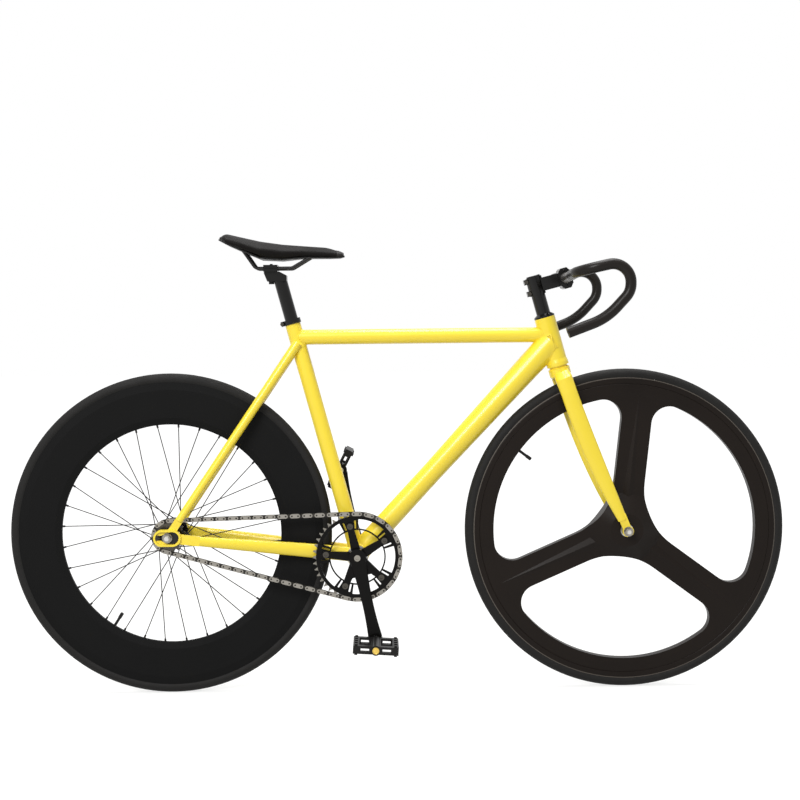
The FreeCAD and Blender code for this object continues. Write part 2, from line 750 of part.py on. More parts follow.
add_node(lathe("seat_clamp_bolt", [[
    ("0", "0"),
    ("sizes.seat_bolt_head_diameter / 2", "0"),
    ("sizes.seat_bolt_head_diameter / 2", "sizes.seat_bolt_head_height"),
    ("sizes.seat_bolt_diameter / 2", "sizes.seat_bolt_head_height"),
    ("sizes.seat_bolt_diameter / 2", "sizes.seat_bolt_head_height + sizes.seat_collar_slot + 13"),
    ("0", "sizes.seat_bolt_head_height + sizes.seat_collar_slot + 13"),
]], across(seat_bolt_spot, -seat_bolt_half - sizes.seat_bolt_head_height)))


# Axles and their nuts
def axle(label, centre, diameter, spacing, outer):
    """Threaded axle with a locked cone inside each end plate and a plain turned tip past each nut."""
    length = f"2 * ({outer} + sizes.axle_stickout)"
    cone = f"{outer} + sizes.axle_stickout - {spacing} / 2"
    far_cone = f"{outer} + sizes.axle_stickout + {spacing} / 2"
    radius = f"{diameter} / 2"
    tip = f"{diameter} / 2 - sizes.axle_tip_step"
    half = float(sizes.evalExpression(length)) / 2
    return lathe(label, [[
        ("0", "0"), (tip, "0"), (tip, "sizes.axle_tip_length"), (radius, "sizes.axle_tip_length"),
        (radius, cone), ("sizes.axle_cone_diameter / 2", cone),
        ("sizes.axle_cone_diameter / 2", f"{cone} + sizes.axle_cone_length"),
        (radius, f"{cone} + sizes.axle_cone_length"),
        (radius, f"{far_cone} - sizes.axle_cone_length"),
        ("sizes.axle_cone_diameter / 2", f"{far_cone} - sizes.axle_cone_length"),
        ("sizes.axle_cone_diameter / 2", far_cone), (radius, far_cone),
        (radius, f"{length} - sizes.axle_tip_length"), (tip, f"{length} - sizes.axle_tip_length"),
        (tip, length), ("0", length),
    ]], across(centre, -half))


def axle_nuts(label, centre, diameter, outer):
    """A washer-faced hexagon nut outside each end plate."""
    pair = []
    for name, side in SIDES.items():
        washer = cylinder(f"{label}_{name}_washer", "sizes.axle_washer_diameter / 2",
                          "sizes.axle_washer_height", facing_out(centre, outer, side))
        flats = hexagon(f"{label}_{name}_flats", "sizes.axle_nut_across_flats",
                        "sizes.axle_washer_height + sizes.axle_nut_height", facing_out(centre, outer, side))
        thread = cylinder(f"{label}_{name}_thread", f"{diameter} / 2 + sizes.seat_gap",
                          "sizes.axle_washer_height + sizes.axle_nut_height",
                          facing_out(centre, outer, side))
        blank = fuse(f"{label}_{name}_blank", [washer, flats])
        pair.append(cut(f"{label}_{name}", blank, thread))
    return group(label, pair)


add_node(axle("rear_axle", rear_centre, "sizes.rear_axle_diameter", "sizes.rear_hub_spacing",
              "(sizes.rear_hub_spacing / 2 + sizes.dropout_thickness)"))
add_node(axle_nuts("rear_axle_nuts", rear_centre, "sizes.rear_axle_diameter", dropout_outer))


# Chain: alternate inner and outer links round the ring and the cog
def link_plate(half_low, half_high):
    """Pair of oval plates one pitch long, mirrored about the chain's middle."""
    radius = sizes.chain_plate_height / 2
    length = sizes.chain_pitch + sizes.chain_plate_height
    outline = stadium(Vector(sizes.chain_pitch / 2, 0, 0), length, 2 * radius)
    return [slab(outline.copy(), half_low, half_high), slab(outline.copy(), -half_low, -half_high)]


def chain_link(outer):
    """One link lying along X from its first pin, its rollers or pins joined to its plates."""
    inner_face = sizes.chain_inner_width / 2
    side_face = inner_face + sizes.chain_plate
    ends = [Vector(0, 0, 0), Vector(sizes.chain_pitch, 0, 0)]
    pin_radius = sizes.chain_pin_diameter / 2
    if outer:
        low = side_face + sizes.seat_gap * 2
        high = low + sizes.chain_plate
        plates = link_plate(low, high)
        pins = [drum(end, pin_radius, -high - sizes.seat_gap * 4, high + sizes.seat_gap * 4) for end in ends]
        return plates[0].multiFuse(plates[1:] + pins)
    plates = link_plate(inner_face, side_face)
    rollers = [drum(end, sizes.chain_roller_diameter / 2, -inner_face, inner_face) for end in ends]
    bores = [drum(end, pin_radius + sizes.running_fit, -side_face - 1, side_face + 1) for end in ends]
    return plates[0].multiFuse(plates[1:] + rollers).cut(Part.makeCompound(bores))


def chain_route():
    """Pin places in turn: upper run, round the ring, lower run, round the cog."""
    ring_radius = pitch_radius(sizes.ring_teeth)
    cog_radius = pitch_radius(sizes.cog_teeth)
    lean = degrees(asin((ring_radius - cog_radius) / crank_span))
    heading = degrees(atan2(chain_line_run.z, chain_line_run.x))
    upper = heading + 90 + lean
    lower = heading - 90 - lean
    run = sqrt(crank_span ** 2 - (ring_radius - cog_radius) ** 2) / sizes.chain_pitch
    ring_step = 360 / sizes.ring_teeth
    cog_step = 360 / sizes.cog_teeth
    ring_wrap = (180 + 2 * lean) / ring_step
    places = []
    for count in range(int(sizes.chain_links)):
        if count <= run:
            place = rear_centre + spot(upper, cog_radius) + spot(upper - 90, count * sizes.chain_pitch)
        elif count <= run + ring_wrap:
            place = crank_centre + spot(upper - (count - run) * ring_step, ring_radius)
        elif count <= 2 * run + ring_wrap:
            gone = (count - run - ring_wrap) * sizes.chain_pitch
            place = crank_centre + spot(lower, ring_radius) + spot(lower - 90, gone)
        else:
            place = rear_centre + spot(lower - (count - 2 * run - ring_wrap) * cog_step, cog_radius)
        places.append(place - ACROSS * sizes.chain_line)
    ring_phase = upper - (int(run) + 1 - run) * ring_step
    return places, ring_phase, upper


chain_places, ring_phase, cog_phase = chain_route()
links = []
link_shapes = {True: chain_link(True), False: chain_link(False)}
for index, place in enumerate(chain_places):
    onward = chain_places[(index + 1) % len(chain_places)] - place
    turn = Rotation(ACROSS, -degrees(atan2(onward.z, onward.x)))
    link = link_shapes[index % 2 == 0].copy()
    link.Placement = Placement(place, turn)
    links.append(link)
add_node(shaped("chain", Part.makeCompound(links)))


# Rear wheel
def toothed_wire(teeth, phase):
    """Sprocket outline about the origin: round roller seats between straight-flanked teeth."""
    step = 360 / teeth
    seat_radius = sizes.chain_roller_diameter / 2 + 4 * sizes.running_fit
    pitch = pitch_radius(teeth)
    tip_radius = pitch + sizes.tooth_height
    tip_turn = degrees(sizes.tooth_tip_width / 2 / tip_radius)
    seat_half = 60
    edges = []
    for index in range(int(teeth)):
        gap = phase + index * step
        centre = spot(gap, pitch)
        first = centre + spot(gap + 180 + seat_half, seat_radius)
        bottom = centre + spot(gap + 180, seat_radius)
        last = centre + spot(gap + 180 - seat_half, seat_radius)
        rise = spot(gap + step / 2 - tip_turn, tip_radius)
        fall = spot(gap + step / 2 + tip_turn, tip_radius)
        onward = spot(gap + step, pitch) + spot(gap + step + 180 + seat_half, seat_radius)
        edges.append(Part.Arc(first, bottom, last).toShape())
        edges.append(Part.LineSegment(last, rise).toShape())
        edges.append(Part.LineSegment(rise, fall).toShape())
        edges.append(Part.LineSegment(fall, onward).toShape())
    return Part.Wire(edges)


def sprocket(centre, teeth, phase):
    """Toothed blank in the chain's plane."""
    half = sizes.tooth_thickness / 2
    blank = slab(toothed_wire(teeth, phase), -sizes.chain_line - half, -sizes.chain_line + half)
    blank.translate(centre)
    return blank


def tyre(label, centre):
    """Casing of a thin road tyre, open towards the rim that it sits on."""
    middle = across(centre, 0)
    casing = doc.addObject("Part::Torus", label + "_casing")
    casing.setExpression("Radius1", "sizes.tyre_outer_radius - sizes.tyre_width / 2")
    casing.setExpression("Radius2", "sizes.tyre_width / 2")
    casing.Placement = middle
    hollow = doc.addObject("Part::Torus", label + "_hollow")
    hollow.setExpression("Radius1", "sizes.tyre_outer_radius - sizes.tyre_width / 2")
    hollow.setExpression("Radius2", "sizes.tyre_width / 2 - sizes.tyre_wall")
    hollow.Placement = middle
    bed = cylinder(label + "_bed", "sizes.rim_edge_radius + sizes.seat_gap", "sizes.tyre_width * 2",
                   across(centre, -sizes.tyre_width))
    return cut(label, casing, fuse(label + "_tools", [hollow, bed]))


rear_rim_radius = sizes.rim_edge_radius - sizes.rear_rim_depth
rear_inner = "(sizes.rim_edge_radius - sizes.rear_rim_depth)"
rear_nose = f"({rear_inner} + sizes.rear_rim_nose_length)"
nose_low = "(sizes.rim_width - sizes.rear_rim_nose_width) / 2"
nose_high = "(sizes.rim_width + sizes.rear_rim_nose_width) / 2"
shoulder = "(sizes.rim_edge_radius - sizes.rear_rim_shoulder)"
rear_rim_blank = lathe("rear_rim_blank", [
    [(rear_inner, nose_low), (rear_nose, f"{nose_low} / 2"), (shoulder, "0"),
     ("sizes.rim_edge_radius", "1"), ("sizes.rim_edge_radius", "sizes.rim_width - 1"),
     (shoulder, "sizes.rim_width"), (rear_nose, f"sizes.rim_width - {nose_low} / 2"),
     (rear_inner, nose_high)],
    [(f"{rear_inner} + sizes.rim_wall", f"{nose_low} + sizes.rim_wall"),
     (rear_nose, f"{nose_low} / 2 + sizes.rim_wall"), (shoulder, "sizes.rim_wall"),
     ("sizes.rim_edge_radius - sizes.rim_wall", "1 + sizes.rim_wall"),
     ("sizes.rim_edge_radius - sizes.rim_wall", "sizes.rim_width - 1 - sizes.rim_wall"),
     (shoulder, "sizes.rim_width - sizes.rim_wall"),
     (rear_nose, f"sizes.rim_width - {nose_low} / 2 - sizes.rim_wall"),
     (f"{rear_inner} + sizes.rim_wall", f"{nose_high} - sizes.rim_wall")],
], across(rear_centre, -sizes.rim_width / 2))


def spoke_lines():
    """Flange end and rim end of every spoke, crossed, leading and trailing in turn on each flange."""
    lines = []
    step = 360 / sizes.spoke_count
    swing = sizes.spoke_crossings * 2 * step
    lie = sizes.hub_flange_thickness / 2 + sizes.spoke_diameter / 2 + sizes.seat_gap
    edge_run = sqrt(sizes.hub_flange_radius ** 2 - sizes.hub_spoke_circle_radius ** 2)
    lean = 1.2 * edge_run * sizes.hub_flange_spacing / 2 / rear_rim_radius
    for index in range(int(sizes.spoke_count)):
        side = -1 if index % 2 == 0 else 1
        leading = (index // 2) % 2 == 0
        rim_angle = sizes.rear_valve_angle + (index + 0.5) * step
        hub_angle = rim_angle + (swing if leading else -swing)
        outward = lie + lean if leading else -lie
        flange = side * sizes.hub_flange_spacing / 2
        hub_end = rear_centre + spot(hub_angle, sizes.hub_spoke_circle_radius)
        rim_end = rear_centre + spot(rim_angle, rear_rim_radius) + ACROSS * side
        elbow = ACROSS * (side * (-outward - lie if leading else 2 * lie))
        lines.append((hub_end + ACROSS * (flange + side * outward), rim_end, elbow))
    return lines


spoke_radius = sizes.spoke_diameter / 2
spokes = []
nipples = []
nipple_bores = []
flange_bores = []
for hub_end, rim_end, elbow_run in spoke_lines():
    run = rim_end - hub_end
    line = Vector(run).normalize()
    reach = run.Length + sizes.rim_wall + 1
    elbow_depth = elbow_run.Length
    elbow_turn = Vector(elbow_run).normalize()
    straight = Part.makeCylinder(spoke_radius, reach, hub_end, line)
    elbow = Part.makeCylinder(spoke_radius, elbow_depth, hub_end, elbow_turn)
    knuckle = Part.makeSphere(spoke_radius, hub_end)
    spokes.append(straight.multiFuse([elbow, knuckle]))
    bore = Part.makeCylinder(spoke_radius + sizes.seat_gap, 3 * elbow_depth,
                             hub_end - elbow_turn * elbow_depth, elbow_turn)
    flange_bores.append(bore)
    nipple_start = rim_end - line * (sizes.nipple_length / 2)
    nipple = Part.makeCylinder(sizes.nipple_diameter / 2, sizes.nipple_length, nipple_start, line)
    thread = Part.makeCylinder(spoke_radius + sizes.seat_gap, sizes.nipple_length, nipple_start, line)
    nipples.append(nipple.cut(thread))
    nipple_bores.append(Part.makeCylinder(sizes.nipple_diameter / 2 + sizes.seat_gap,
                                          sizes.nipple_length * 2, nipple_start, line))


def valve(label, centre, angle, rim_radius):
    """Valve stem with its cap, standing in from the rim towards the axle."""
    stem = "sizes.valve_root + sizes.valve_reach"
    return lathe(label, [[
        ("0", "0"), ("sizes.valve_diameter / 2", "0"),
        ("sizes.valve_diameter / 2", f"{stem} - sizes.valve_cap_length"),
        ("sizes.valve_cap_diameter / 2", f"{stem} - sizes.valve_cap_length"),
        ("sizes.valve_cap_diameter / 2", f"{stem} - 1"),
        ("sizes.valve_cap_diameter / 2 - 1", stem), ("0", stem),
    ]], along(centre + spot(angle, rim_radius + sizes.valve_root), spot(angle + 180)))


def valve_bore(centre, angle, rim_radius):
    return Part.makeCylinder(sizes.valve_diameter / 2 + sizes.seat_gap, 4 * sizes.valve_root,
                             centre + spot(angle, rim_radius + 2 * sizes.valve_root), spot(angle + 180))


rear_rim_bores = shaped("rear_rim_bores", Part.makeCompound(
    nipple_bores + [valve_bore(rear_centre, sizes.rear_valve_angle, rear_rim_radius)]))
add_node(cut("rear_rim", rear_rim_blank, rear_rim_bores))
add_node(tyre("rear_tyre", rear_centre))

hub_half = "(sizes.rear_hub_spacing / 2 - sizes.axle_cone_length - sizes.face_gap)"
hub_length = f"2 * {hub_half}"
flange_in = "(sizes.hub_flange_spacing / 2 - sizes.hub_flange_thickness / 2)"
flange_out = "(sizes.hub_flange_spacing / 2 + sizes.hub_flange_thickness / 2)"
cog_inner = "(sizes.chain_line - sizes.tooth_thickness / 2 - sizes.seat_gap)"
hub_bore = "sizes.rear_axle_diameter / 2 + 1.5"
bearing_seat = "sizes.hub_bearing_radius + sizes.seat_gap"
rear_hub_blank = lathe("rear_hub_blank", [[
    (bearing_seat, "0"), ("sizes.hub_body_radius", "0"),
    ("sizes.hub_body_radius", f"{hub_half} - {flange_out}"),
    ("sizes.hub_flange_radius", f"{hub_half} - {flange_out}"),
    ("sizes.hub_flange_radius", f"{hub_half} - {flange_in}"),
    ("sizes.hub_body_radius", f"{hub_half} - {flange_in}"),
    ("sizes.hub_body_radius", f"{hub_half} + {flange_in}"),
    ("sizes.hub_flange_radius", f"{hub_half} + {flange_in}"),
    ("sizes.hub_flange_radius", f"{hub_half} + {flange_out}"),
    ("sizes.hub_thread_radius + 2", f"{hub_half} + {flange_out}"),
    ("sizes.hub_thread_radius + 2", f"{hub_half} + {cog_inner}"),
    ("sizes.hub_thread_radius", f"{hub_half} + {cog_inner}"),
    ("sizes.hub_thread_radius", hub_length),
    (bearing_seat, hub_length),
    (bearing_seat, f"{hub_length} - sizes.hub_bearing_width"),
    (hub_bore, f"{hub_length} - sizes.hub_bearing_width"),
    (hub_bore, "sizes.hub_bearing_width"), (bearing_seat, "sizes.hub_bearing_width"),
]], along(rear_centre + ACROSS * float(sizes.evalExpression(hub_half)), ACROSS * -1))
add_node(cut("rear_hub", rear_hub_blank, shaped("hub_flange_bores", Part.makeCompound(flange_bores))))
add_node(shaped("rear_spokes", Part.makeCompound(spokes)))
add_node(shaped("spoke_nipples", Part.makeCompound(nipples)))

cog_bore = drum(rear_centre, sizes.hub_thread_radius + sizes.seat_gap, -sizes.rear_hub_spacing, 0)
add_node(shaped("rear_cog", sprocket(rear_centre, sizes.cog_teeth, cog_phase).cut(cog_bore)))
add_node(ring("cog_lockring", "sizes.hub_thread_radius + sizes.seat_gap", "sizes.lockring_radius",
              "sizes.lockring_width",
              facing_out(rear_centre, sizes.chain_line + sizes.tooth_thickness / 2 + sizes.seat_gap, -1)))
hub_bearing_offset = float(sizes.evalExpression(hub_half)) - sizes.hub_bearing_width
add_node(group("rear_hub_bearings", [
    ring(f"rear_hub_bearing_{name}", "sizes.rear_axle_diameter / 2 + sizes.running_fit",
         "sizes.hub_bearing_radius", "sizes.hub_bearing_width",
         facing_out(rear_centre, hub_bearing_offset, side))
    for name, side in SIDES.items()]))
add_node(valve("rear_valve", rear_centre, sizes.rear_valve_angle, rear_rim_radius))

# Front wheel: one casting with three broad spokes
front_rim_radius = sizes.rim_edge_radius - sizes.front_rim_depth
casting_half = "sizes.front_hub_width / 2"
web_low = f"({casting_half} - sizes.front_web_thickness / 2)"
web_high = f"({casting_half} + sizes.front_web_thickness / 2)"
rim_low = f"({casting_half} - sizes.rim_width / 2)"
rim_high = f"({casting_half} + sizes.rim_width / 2)"
front_inner = "(sizes.rim_edge_radius - sizes.front_rim_depth)"
groove = "(sizes.rim_edge_radius - sizes.rim_groove_inset)"
front_seat = "sizes.hub_bearing_radius + sizes.seat_gap"
front_bore = "sizes.front_axle_diameter / 2 + 1.5"
casting_blank = lathe("front_casting_blank", [
    [(front_seat, "0"), ("sizes.front_hub_radius", "0"), ("sizes.front_hub_foot_radius", web_low),
     (f"{front_inner} + 4", web_low), (f"{front_inner} + 10", rim_low),
     (f"{groove} - 1", rim_low), (groove, f"{rim_low} + sizes.rim_groove_depth"), (f"{groove} + 1", rim_low),
     ("sizes.rim_edge_radius - 4", rim_low), ("sizes.rim_edge_radius", f"{rim_low} + 1"),
     ("sizes.rim_edge_radius", f"{rim_high} - 1"), ("sizes.rim_edge_radius - 4", rim_high),
     (f"{groove} + 1", rim_high), (groove, f"{rim_high} - sizes.rim_groove_depth"),
     (f"{groove} - 1", rim_high),
     (f"{front_inner} + 10", rim_high), (f"{front_inner} + 4", web_high),
     ("sizes.front_hub_foot_radius", web_high), ("sizes.front_hub_radius", "sizes.front_hub_width"),
     (front_seat, "sizes.front_hub_width"),
     (front_seat, "sizes.front_hub_width - sizes.hub_bearing_width"),
     (front_bore, "sizes.front_hub_width - sizes.hub_bearing_width"),
     (front_bore, "sizes.hub_bearing_width"), (front_seat, "sizes.hub_bearing_width")],
], across(front_centre, -sizes.front_hub_width / 2))


def window_wire(start_angle, grow):
    """Opening between one spoke and the next, with rounded corners at the hub and the rim."""
    next_angle = start_angle + 120
    half = sizes.front_spoke_width / 2 - grow
    hub_fillet = sizes.front_hub_fillet + grow
    rim_fillet = sizes.front_rim_fillet + grow
    rim_reach = front_rim_radius + grow
    hub_along = (half + hub_fillet) / tan(radians(60))
    hub_reach = (half + hub_fillet) / sin(radians(60)) - hub_fillet
    corner_across = half + rim_fillet
    corner_reach = rim_reach - rim_fillet
    corner_along = sqrt(corner_reach ** 2 - corner_across ** 2)
    corner_turn = degrees(atan2(corner_across, corner_along))

    def beside(angle, forward, sideways):
        return spot(angle, forward) + spot(angle + 90, sideways)

    low_inner = beside(start_angle, hub_along, half)
    low_outer = beside(start_angle, corner_along, half)
    low_rim = spot(start_angle + corner_turn, rim_reach)
    low_centre = beside(start_angle, corner_along, corner_across)
    low_middle = low_centre + spot(start_angle + (corner_turn - 90) / 2, rim_fillet)
    high_inner = beside(next_angle, hub_along, -half)
    high_outer = beside(next_angle, corner_along, -half)
    high_rim = spot(next_angle - corner_turn, rim_reach)
    high_centre = beside(next_angle, corner_along, -corner_across)
    high_middle = high_centre + spot(next_angle - (corner_turn - 90) / 2, rim_fillet)
    bisector = start_angle + 60
    edges = [
        Part.LineSegment(low_inner, low_outer), Part.Arc(low_outer, low_middle, low_rim),
        Part.Arc(low_rim, spot(bisector, rim_reach), high_rim),
        Part.Arc(high_rim, high_middle, high_outer), Part.LineSegment(high_outer, high_inner),
        Part.Arc(high_inner, spot(bisector, hub_reach), low_inner)]
    wire = Part.Wire([edge.toShape() for edge in edges])
    wire.translate(front_centre)
    return wire


def spoke_ridge(angle, side):
    """Raised middle of one spoke face, a roof that narrows to a point at the rim."""
    base = side * (sizes.front_web_thickness / 2 - 1)
    sections = []
    for reach, width, height in (
            (sizes.front_ridge_start, sizes.front_ridge_width, sizes.front_ridge_height),
            (front_rim_radius + 8, sizes.front_ridge_tip, 0.4)):
        sideways = spot(angle + 90, width / 2)
        middle = front_centre + spot(angle, reach)
        foot = middle + ACROSS * base
        crest = middle + ACROSS * (base + side * (height + 1))
        sections.append(rounded_wire([foot - sideways, foot + sideways, crest], [0] * 3, closed=True))
    return Part.makeLoft(sections, True, True)


window_angles = [sizes.front_spoke_angle + 120 * index for index in range(3)]
windows = [slab(window_wire(angle, 0), -sizes.front_hub_width, sizes.front_hub_width)
           for angle in window_angles]
front_bores = shaped("front_wheel_openings", Part.makeCompound(
    windows + [valve_bore(front_centre, sizes.front_valve_angle, front_rim_radius)]))
ridges = [shaped(f"spoke_ridge_{index}_{name}", spoke_ridge(angle, side))
          for index, angle in enumerate(window_angles) for name, side in SIDES.items()]
ridged_casting = fuse("front_casting_ridged", [casting_blank] + ridges)
pierced_casting = cut("front_casting_pierced", ridged_casting, front_bores)
cavity_half = sizes.front_web_thickness / 2 - sizes.casting_wall
cavity = drum(front_centre, sizes.rim_edge_radius - sizes.casting_wall, -cavity_half, cavity_half)
cavity = cavity.cut(drum(front_centre, sizes.front_hub_radius, -cavity_half, cavity_half))
for angle in window_angles:
    cavity = cavity.cut(slab(window_wire(angle, sizes.casting_wall), -cavity_half, cavity_half))
add_node(cut("front_wheel_casting", pierced_casting, shaped("front_casting_cavity", cavity)))
add_node(tyre("front_tyre", front_centre))
front_bearing_offset = sizes.front_hub_width / 2 - sizes.hub_bearing_width
add_node(group("front_hub_bearings", [
    ring(f"front_hub_bearing_{name}", "sizes.front_axle_diameter / 2 + sizes.running_fit",
         "sizes.hub_bearing_radius", "sizes.hub_bearing_width",
         facing_out(front_centre, front_bearing_offset, side))
    for name, side in SIDES.items()]))
add_node(valve("front_valve", front_centre, sizes.front_valve_angle, front_rim_radius))

# Fork: steerer and crown turned as one, with a slim blade each side
crown_bottom = sizes.fork_length - sizes.crown_height
stem_bottom_reach = (head_bottom_reach + sizes.head_tube_length + sizes.face_gap + sizes.headset_cover_height
                     + sizes.spacer_count * sizes.spacer_height)
stem_top_reach = stem_bottom_reach + sizes.stem_clamp_height
sizes.set("D3", str(stem_top_reach - 2 - crown_bottom))
sizes.setAlias("D3", "steerer_length")
doc.recompute()
add_node(lathe("fork_steerer", [[
    ("sizes.steerer_bore / 2", "0"), ("sizes.crown_radius - 3", "0"), ("sizes.crown_radius", "3"),
    ("sizes.crown_radius", "sizes.crown_height - 2"),
    ("sizes.crown_race_radius", "sizes.crown_height"),
    ("sizes.crown_race_radius", "sizes.crown_height + sizes.crown_race_height"),
    ("sizes.steerer_diameter / 2", "sizes.crown_height + sizes.crown_race_height"),
    ("sizes.steerer_diameter / 2", "sizes.steerer_length"),
    ("sizes.steerer_bore / 2", "sizes.steerer_length"),
]], along(head_point(crown_bottom), head_axis)))

crown_centre = head_point(sizes.fork_length - sizes.crown_height / 4)
blade_line = (crown_centre - front_centre).normalize()
blade_length = (crown_centre - front_centre).Length
blade_chord = blade_line.cross(ACROSS)
tip_middle = sizes.front_hub_spacing / 2 + sizes.fork_tip_plate / 2


def blade_loft(side, inset, first, last, ruled):
    """Slightly bowed oval blade from the tip plate, turning in under the crown at its top."""
    tip, shoulder_reach = sizes.fork_tip_length, blade_length * 0.86
    spread = sizes.fork_shoulder_spread
    stations = [
        (tip, tip_middle, sizes.fork_tip_chord, sizes.fork_tip_thickness),
        (blade_length * 0.34, tip_middle - (tip_middle - spread) * 0.34, sizes.fork_mid_chord - 3,
         sizes.fork_mid_thickness - 2),
        (blade_length * 0.62, tip_middle - (tip_middle - spread) * 0.7, sizes.fork_mid_chord + 1,
         sizes.fork_mid_thickness),
        (shoulder_reach, spread, sizes.fork_mid_chord, sizes.fork_mid_thickness + 3),
        (blade_length - 18, spread - 6, sizes.fork_crown_chord, sizes.fork_mid_thickness + 9),
        (blade_length - 4, spread - 18, sizes.fork_crown_chord - 4, sizes.fork_mid_thickness + 8),
    ]
    sections = []
    for reach, offset, chord, thickness in stations[first:last]:
        bow = sizes.fork_bow * sin(pi * reach / blade_length)
        middle = front_centre + blade_line * reach + blade_chord * bow + ACROSS * (side * offset)
        sections.append(ellipse(middle, blade_chord, ACROSS, chord / 2 - inset, thickness / 2 - inset))
    return Part.makeLoft(sections, True, ruled)


def fork_tip(side):
    """Round plate on the axle with a neck into the blade and a slot open below."""
    near = side * sizes.front_hub_spacing / 2
    far = near + side * sizes.fork_tip_plate
    eye = drum(front_centre, sizes.fork_tip_radius, near, far)
    sideways = blade_chord * (sizes.fork_tip_chord / 2 - 1)
    end = front_centre + blade_line * (sizes.fork_tip_length + sizes.fork_tip_radius)
    corners = [front_centre - sideways, end - sideways, end + sideways, front_centre + sideways]
    neck = slab(rounded_wire(corners, [0] * 4, closed=True), near, far)
    slot_half = sizes.front_axle_diameter / 2 + sizes.axle_slot_clearance / 2
    low = front_centre - blade_line * (2 * sizes.fork_tip_radius)
    breadth = blade_chord * slot_half
    high = front_centre + blade_line * slot_half
    slot_corners = [low - breadth, high - breadth, high + breadth, low + breadth]
    slot = slab(rounded_wire(slot_corners, [0] * 4, closed=True),
                near - side, far + side)
    return eye.fuse(neck).cut(slot)


crown_core = Part.makeCylinder(sizes.crown_radius, sizes.fork_length, head_point(crown_bottom), head_axis)
for name, side in SIDES.items():
    blade = blade_loft(side, 0, 0, 4, False).fuse(blade_loft(side, 0, 3, 6, True))
    blade = blade.cut(blade_loft(side, sizes.fork_wall, 1, 4, True)).cut(crown_core)
    add_node(shaped("fork_blade_" + name, largest(blade.fuse(fork_tip(side)))))

fork_tip_outer = sizes.front_hub_spacing / 2 + sizes.fork_tip_plate
add_node(axle("front_axle", front_centre, "sizes.front_axle_diameter", "sizes.front_hub_spacing",
              "(sizes.front_hub_spacing / 2 + sizes.fork_tip_plate)"))
add_node(axle_nuts("front_axle_nuts", front_centre, "sizes.front_axle_diameter", fork_tip_outer))

# Headset cover, spacers and top cap on the steerer
cover_reach = head_bottom_reach + sizes.head_tube_length + sizes.face_gap
steerer_seat = "sizes.steerer_diameter / 2 + sizes.seat_gap"
add_node(lathe("headset_cover", [[
    (steerer_seat, "0"), ("sizes.head_tube_diameter / 2", "0"), ("sizes.head_tube_diameter / 2", "3"),
    ("sizes.spacer_diameter / 2", "sizes.headset_cover_height"), (steerer_seat, "sizes.headset_cover_height"),
]], along(head_point(cover_reach), head_axis)))
spacer_reach = cover_reach + sizes.headset_cover_height
add_node(group("headset_spacers", [
    ring(f"headset_spacer_{index}", steerer_seat, "sizes.spacer_diameter / 2", "sizes.spacer_height",
         along(head_point(spacer_reach + index * sizes.spacer_height), head_axis))
    for index in range(int(sizes.spacer_count))]))
add_node(lathe("top_cap", [[
    ("0", "0"), ("sizes.steerer_bore / 2 - 1", "0"), ("sizes.steerer_bore / 2 - 1", "6"),
    ("sizes.spacer_diameter / 2", "6"), ("sizes.spacer_diameter / 2", "6 + sizes.top_cap_height - 1"),
    ("sizes.spacer_diameter / 2 - 1", "6 + sizes.top_cap_height"), ("0", "6 + sizes.top_cap_height"),
]], along(head_point(stem_top_reach - 6), head_axis)))

# Stem: clamp on the steerer, arm, and a block split at the bar
stem_rise = 90 - sizes.head_angle - sizes.stem_pitch
stem_turn = Rotation(ACROSS, -stem_rise)
stem_middle = head_point(stem_bottom_reach + sizes.stem_clamp_height / 2)
bar_centre = stem_middle + spot(stem_rise, sizes.stem_length)
bar_frame = Placement(bar_centre, stem_turn)
clamp_frame = Placement(stem_middle, Rotation(ACROSS, sizes.head_angle - 90))


def in_frame(frame, forward, left, up):
    return frame.multiply(Placement(Vector(forward, left, up), Rotation()))


stem_clamp = cylinder("stem_clamp", "sizes.stem_clamp_diameter / 2", "sizes.stem_clamp_height",
                      along(head_point(stem_bottom_reach), head_axis))
lug_bolt_up = (sizes.stem_clamp_height - sizes.stem_lug_height) / 2 - 1
stem_lugs = [box(f"stem_lug_{name}", "sizes.stem_clamp_diameter / 2 + 5", "sizes.stem_lug_width",
                 "sizes.stem_lug_height",
                 in_frame(clamp_frame, -(sizes.stem_clamp_diameter / 2 + 5) / 2, 0, way * lug_bolt_up))
             for name, way in (("lower", -1), ("upper", 1))]
stem_arm = box("stem_arm", "sizes.stem_length", "sizes.stem_arm_width", "sizes.stem_arm_height",
               in_frame(bar_frame, -sizes.stem_length / 2, 0, 0))


def clamp_block(way):
    """Half of the bar clamp, ahead of the split or behind it, with its far corners cut off."""
    half = sizes.bar_block_height / 2
    depth = sizes.bar_block_depth
    corners = [(0.5, half), (depth * 0.5, half), (depth + 0.5, half * 0.6)]
    corners += [(forward, -up) for forward, up in reversed(corners)]
    points = [bar_frame.multVec(Vector(way * forward, 0, up)) for forward, up in corners]
    outline = rounded_wire(points, [0] * 6, closed=True)
    return slab(outline, -sizes.bar_clamp_width / 2, sizes.bar_clamp_width / 2)


